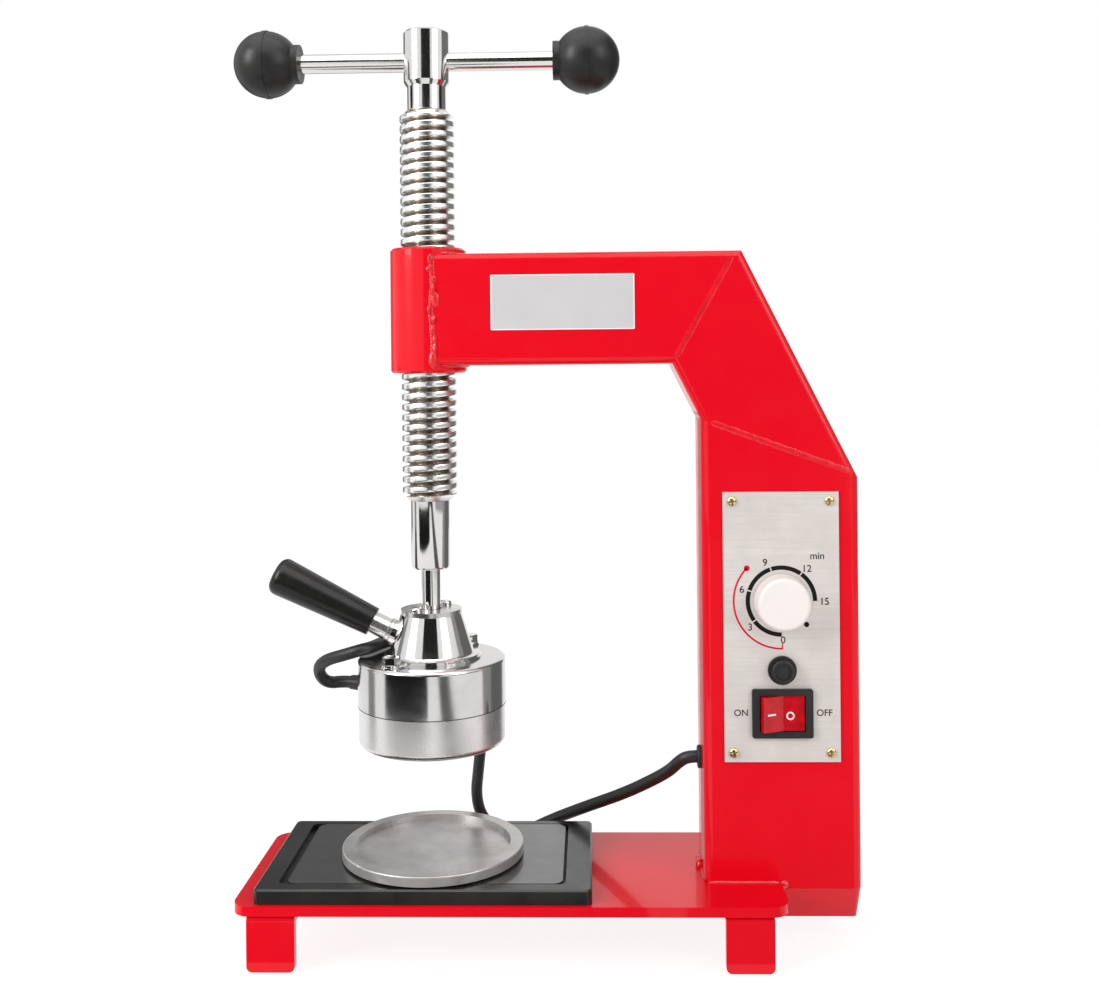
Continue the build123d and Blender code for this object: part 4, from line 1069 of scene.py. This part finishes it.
def make_screws():
    """The four screws of the panel, each turned its own way."""
    random.seed(7)
    screws_low, screws_high = low("panel_screws"), high("panel_screws")
    radius = 2.5 * MM
    heads = []
    for x in (screws_low.x + radius, screws_high.x - radius):
        for z in (screws_low.z + radius, screws_high.z - radius):
            turn = Matrix.Rotation(random.uniform(0, pi / 2), 4, "Z")
            place = on_front(Vector((x, PANEL_FRONT, z))) @ turn
            heads.append(cross_head("screw_head", place, radius, 1.6 * MM, 6.0 * MM))
    mesh = finished(joined("cross_screws", heads), radians(40))
    piece("cross_screws", mesh, "frame", BRASS, ["panel_screws"])


# -------- stage
def glossy_only(thing):
    """The object is seen only in reflections."""
    thing.visible_camera = False
    thing.visible_diffuse = False
    thing.visible_shadow = False
    thing.visible_transmission = False
    thing.visible_volume_scatter = False


def emitter(name, level):
    """A plain material that glows at a level."""
    material = bpy.data.materials.new(name)
    material.use_nodes = True
    tree = material.node_tree
    tree.nodes.clear()
    glow = tree.nodes.new("ShaderNodeEmission")
    glow.inputs["Color"].default_value = (level, level, level, 1)
    output = tree.nodes.new("ShaderNodeOutputMaterial")
    tree.links.new(glow.outputs[0], output.inputs["Surface"])
    return material


def card(name, corners, level):
    """A card that shows only in reflections."""
    mesh = bpy.data.meshes.new(name)
    mesh.from_pydata([Vector(corner) for corner in corners], [], [(0, 1, 2, 3)])
    mesh.materials.append(emitter(name, level))
    made = bpy.data.objects.new(name, mesh)
    bpy.context.scene.collection.objects.link(made)
    glossy_only(made)


def around_axis(angle, distance, z):
    """A point at an angle from straight ahead of the press, positive to the right."""
    turn = radians(angle)
    return (AXIS_X + distance * sin(turn), -distance * cos(turn), z)


def standing_card(name, from_angle, to_angle, distance, bottom, top, level):
    """An upright card between two angles, as seen from the spindle's axis."""
    corners = (
        around_axis(from_angle, distance, bottom),
        around_axis(to_angle, distance, bottom),
        around_axis(to_angle, distance, top),
        around_axis(from_angle, distance, top),
    )
    card(name, corners, level)


def seen_directly(tree):
    """1 for rays that should see the plain white surroundings."""
    path = tree.nodes.new("ShaderNodeLightPath")
    seen = path.outputs["Is Camera Ray"]
    for kind in ("Is Glossy Ray", "Is Transmission Ray"):
        either = tree.nodes.new("ShaderNodeMath")
        either.operation = "MAXIMUM"
        tree.links.new(seen, either.inputs[0])
        tree.links.new(path.outputs[kind], either.inputs[1])
        seen = either.outputs[0]
    return seen


WORLD_FILL = 0.66
FLOOR_WHITE = 0.86
FLOOR_SHARE = 0.78
FLOOR_GLOW = 1.12


def make_world():
    """White around the object, and a gentler fill on it."""
    world = bpy.data.worlds.new("studio")
    bpy.context.scene.world = world
    world.use_nodes = True
    tree = world.node_tree
    tree.nodes.clear()
    fill = tree.nodes.new("ShaderNodeBackground")
    fill.inputs["Color"].default_value = (1, 1, 1, 1)
    fill.inputs["Strength"].default_value = WORLD_FILL
    white = tree.nodes.new("ShaderNodeBackground")
    white.inputs["Color"].default_value = (1, 1, 1, 1)
    mix = tree.nodes.new("ShaderNodeMixShader")
    tree.links.new(seen_directly(tree), mix.inputs[0])
    tree.links.new(fill.outputs[0], mix.inputs[1])
    tree.links.new(white.outputs[0], mix.inputs[2])
    output = tree.nodes.new("ShaderNodeOutputWorld")
    tree.links.new(mix.outputs[0], output.inputs["Surface"])


def make_floor():
    """A pale floor that keeps a soft shadow."""
    half = 6.0
    mesh = bpy.data.meshes.new("floor")
    mesh.from_pydata([(-half, -half, 0), (half, -half, 0), (half, half, 0), (-half, half, 0)], [],
                     [(0, 1, 2, 3)])
    floor = bpy.data.objects.new("floor", mesh)
    bpy.context.scene.collection.objects.link(floor)
    material = bpy.data.materials.new("pale_floor")
    material.use_nodes = True
    tree = material.node_tree
    shader = tree.nodes["Principled BSDF"]
    shader.inputs["Base Color"].default_value = (FLOOR_WHITE, FLOOR_WHITE, FLOOR_WHITE, 1)
    shader.inputs["Roughness"].default_value = 0.9
    glow = tree.nodes.new("ShaderNodeEmission")
    glow.inputs["Strength"].default_value = FLOOR_GLOW
    share = tree.nodes.new("ShaderNodeMath")
    share.operation = "MULTIPLY"
    share.inputs[1].default_value = FLOOR_SHARE
    tree.links.new(seen_directly(tree), share.inputs[0])
    mix = tree.nodes.new("ShaderNodeMixShader")
    tree.links.new(share.outputs[0], mix.inputs[0])
    tree.links.new(shader.outputs[0], mix.inputs[1])
    tree.links.new(glow.outputs[0], mix.inputs[2])
    tree.links.new(mix.outputs[0], tree.nodes["Material Output"].inputs["Surface"])
    mesh.materials.append(material)


def softbox(name, spot, aim, width, height, watts):
    """A rectangular lamp that looks at a point."""
    lamp = bpy.data.lights.new(name, "AREA")
    lamp.shape = "RECTANGLE"
    lamp.size = width
    lamp.size_y = height
    lamp.energy = watts
    made = bpy.data.objects.new(name, lamp)
    spot = Vector(spot)
    turn = (Vector(aim) - spot).to_track_quat("-Z", "Y").to_matrix().to_4x4()
    made.matrix_world = Matrix.Translation(spot) @ turn
    bpy.context.scene.collection.objects.link(made)


# Name, angles from and to, distance, bottom, top and level of each upright card
STANDING_CARDS = (
    ("front_card", -8, 19, 1.6, 0.0, 0.66, 0.02),
    ("upper_front_card", -20, 26, 1.6, 0.66, 1.8, 0.02),
    ("low_left_card", -66, 1, 0.40, 0.022, 0.17, 0.012),
    ("right_card", 36, 88, 1.3, 0.0, 0.45, 0.42),
    ("far_right_card", 90, 150, 1.1, 0.0, 1.4, 0.20),
    ("back_left_card", -172, -128, 1.1, 0.0, 1.4, 0.22),
    ("left_strip_card", -102, -86, 0.34, 0.0, 0.30, 0.30),
    ("right_strip_card", 98, 142, 0.30, 0.0, 0.30, 0.16),
)
CARD_LIFT = 0.002  # a card on the floor lies this far above it
OVERHEAD = 1.2
POST_GAP = 1.5 * MM
POST_CARD_LOW, POST_CARD_HIGH = 0.032, 0.29


def make_lights():
    """Two softboxes, and the cards that the polished metal and the black parts reflect."""
    aim = (0.0, 0.0, 0.25)
    softbox("key_light", around_axis(-55, 1.25, 0.85), aim, 0.5, 0.8, 11)
    softbox("fill_light", around_axis(52, 1.5, 0.9), aim, 0.6, 0.8, 6)
    for values in STANDING_CARDS:
        standing_card(*values)
    flat = (
        ("overhead_card", ((-0.70, -1.20), (0.50, -1.20), (0.50, 0.10), (-0.70, 0.10)),
         OVERHEAD, 2.6),
        ("floor_card_left", ((-0.20, -0.055), (0.06, -0.055), (0.05, -0.16), (-0.24, -0.16)),
         CARD_LIFT, 0.02),
        ("floor_card_right", ((AXIS_X + 0.13, -0.055), (AXIS_X + 0.23, -0.055),
                              (AXIS_X + 0.60, -1.70), (AXIS_X + 0.27, -1.70)), CARD_LIFT, 0.12),
    )
    for name, corners, z, level in flat:
        card(name, [(x, y, z) for x, y in corners], level)
    # Painted reflection: a grey card just off the post's inner face, seen only in reflections,
    # takes the place of the post's red in the chrome.
    inner = POST_LEFT - POST_GAP
    card("post_card", [
        (inner, FRAME_FRONT, POST_CARD_LOW), (inner, FRAME_BACK, POST_CARD_LOW),
        (inner, FRAME_BACK, POST_CARD_HIGH), (inner, FRAME_FRONT, POST_CARD_HIGH)], 0.34)


# -------- build everything
bpy.context.scene.view_settings.view_transform = "Standard"
make_camera()
make_world()
make_floor()
make_lights()
dress_nodes()
make_cords()
make_spindle()
make_welds()
make_dial_print()
make_rocker_marks()
make_label()
make_seams()
make_screws()
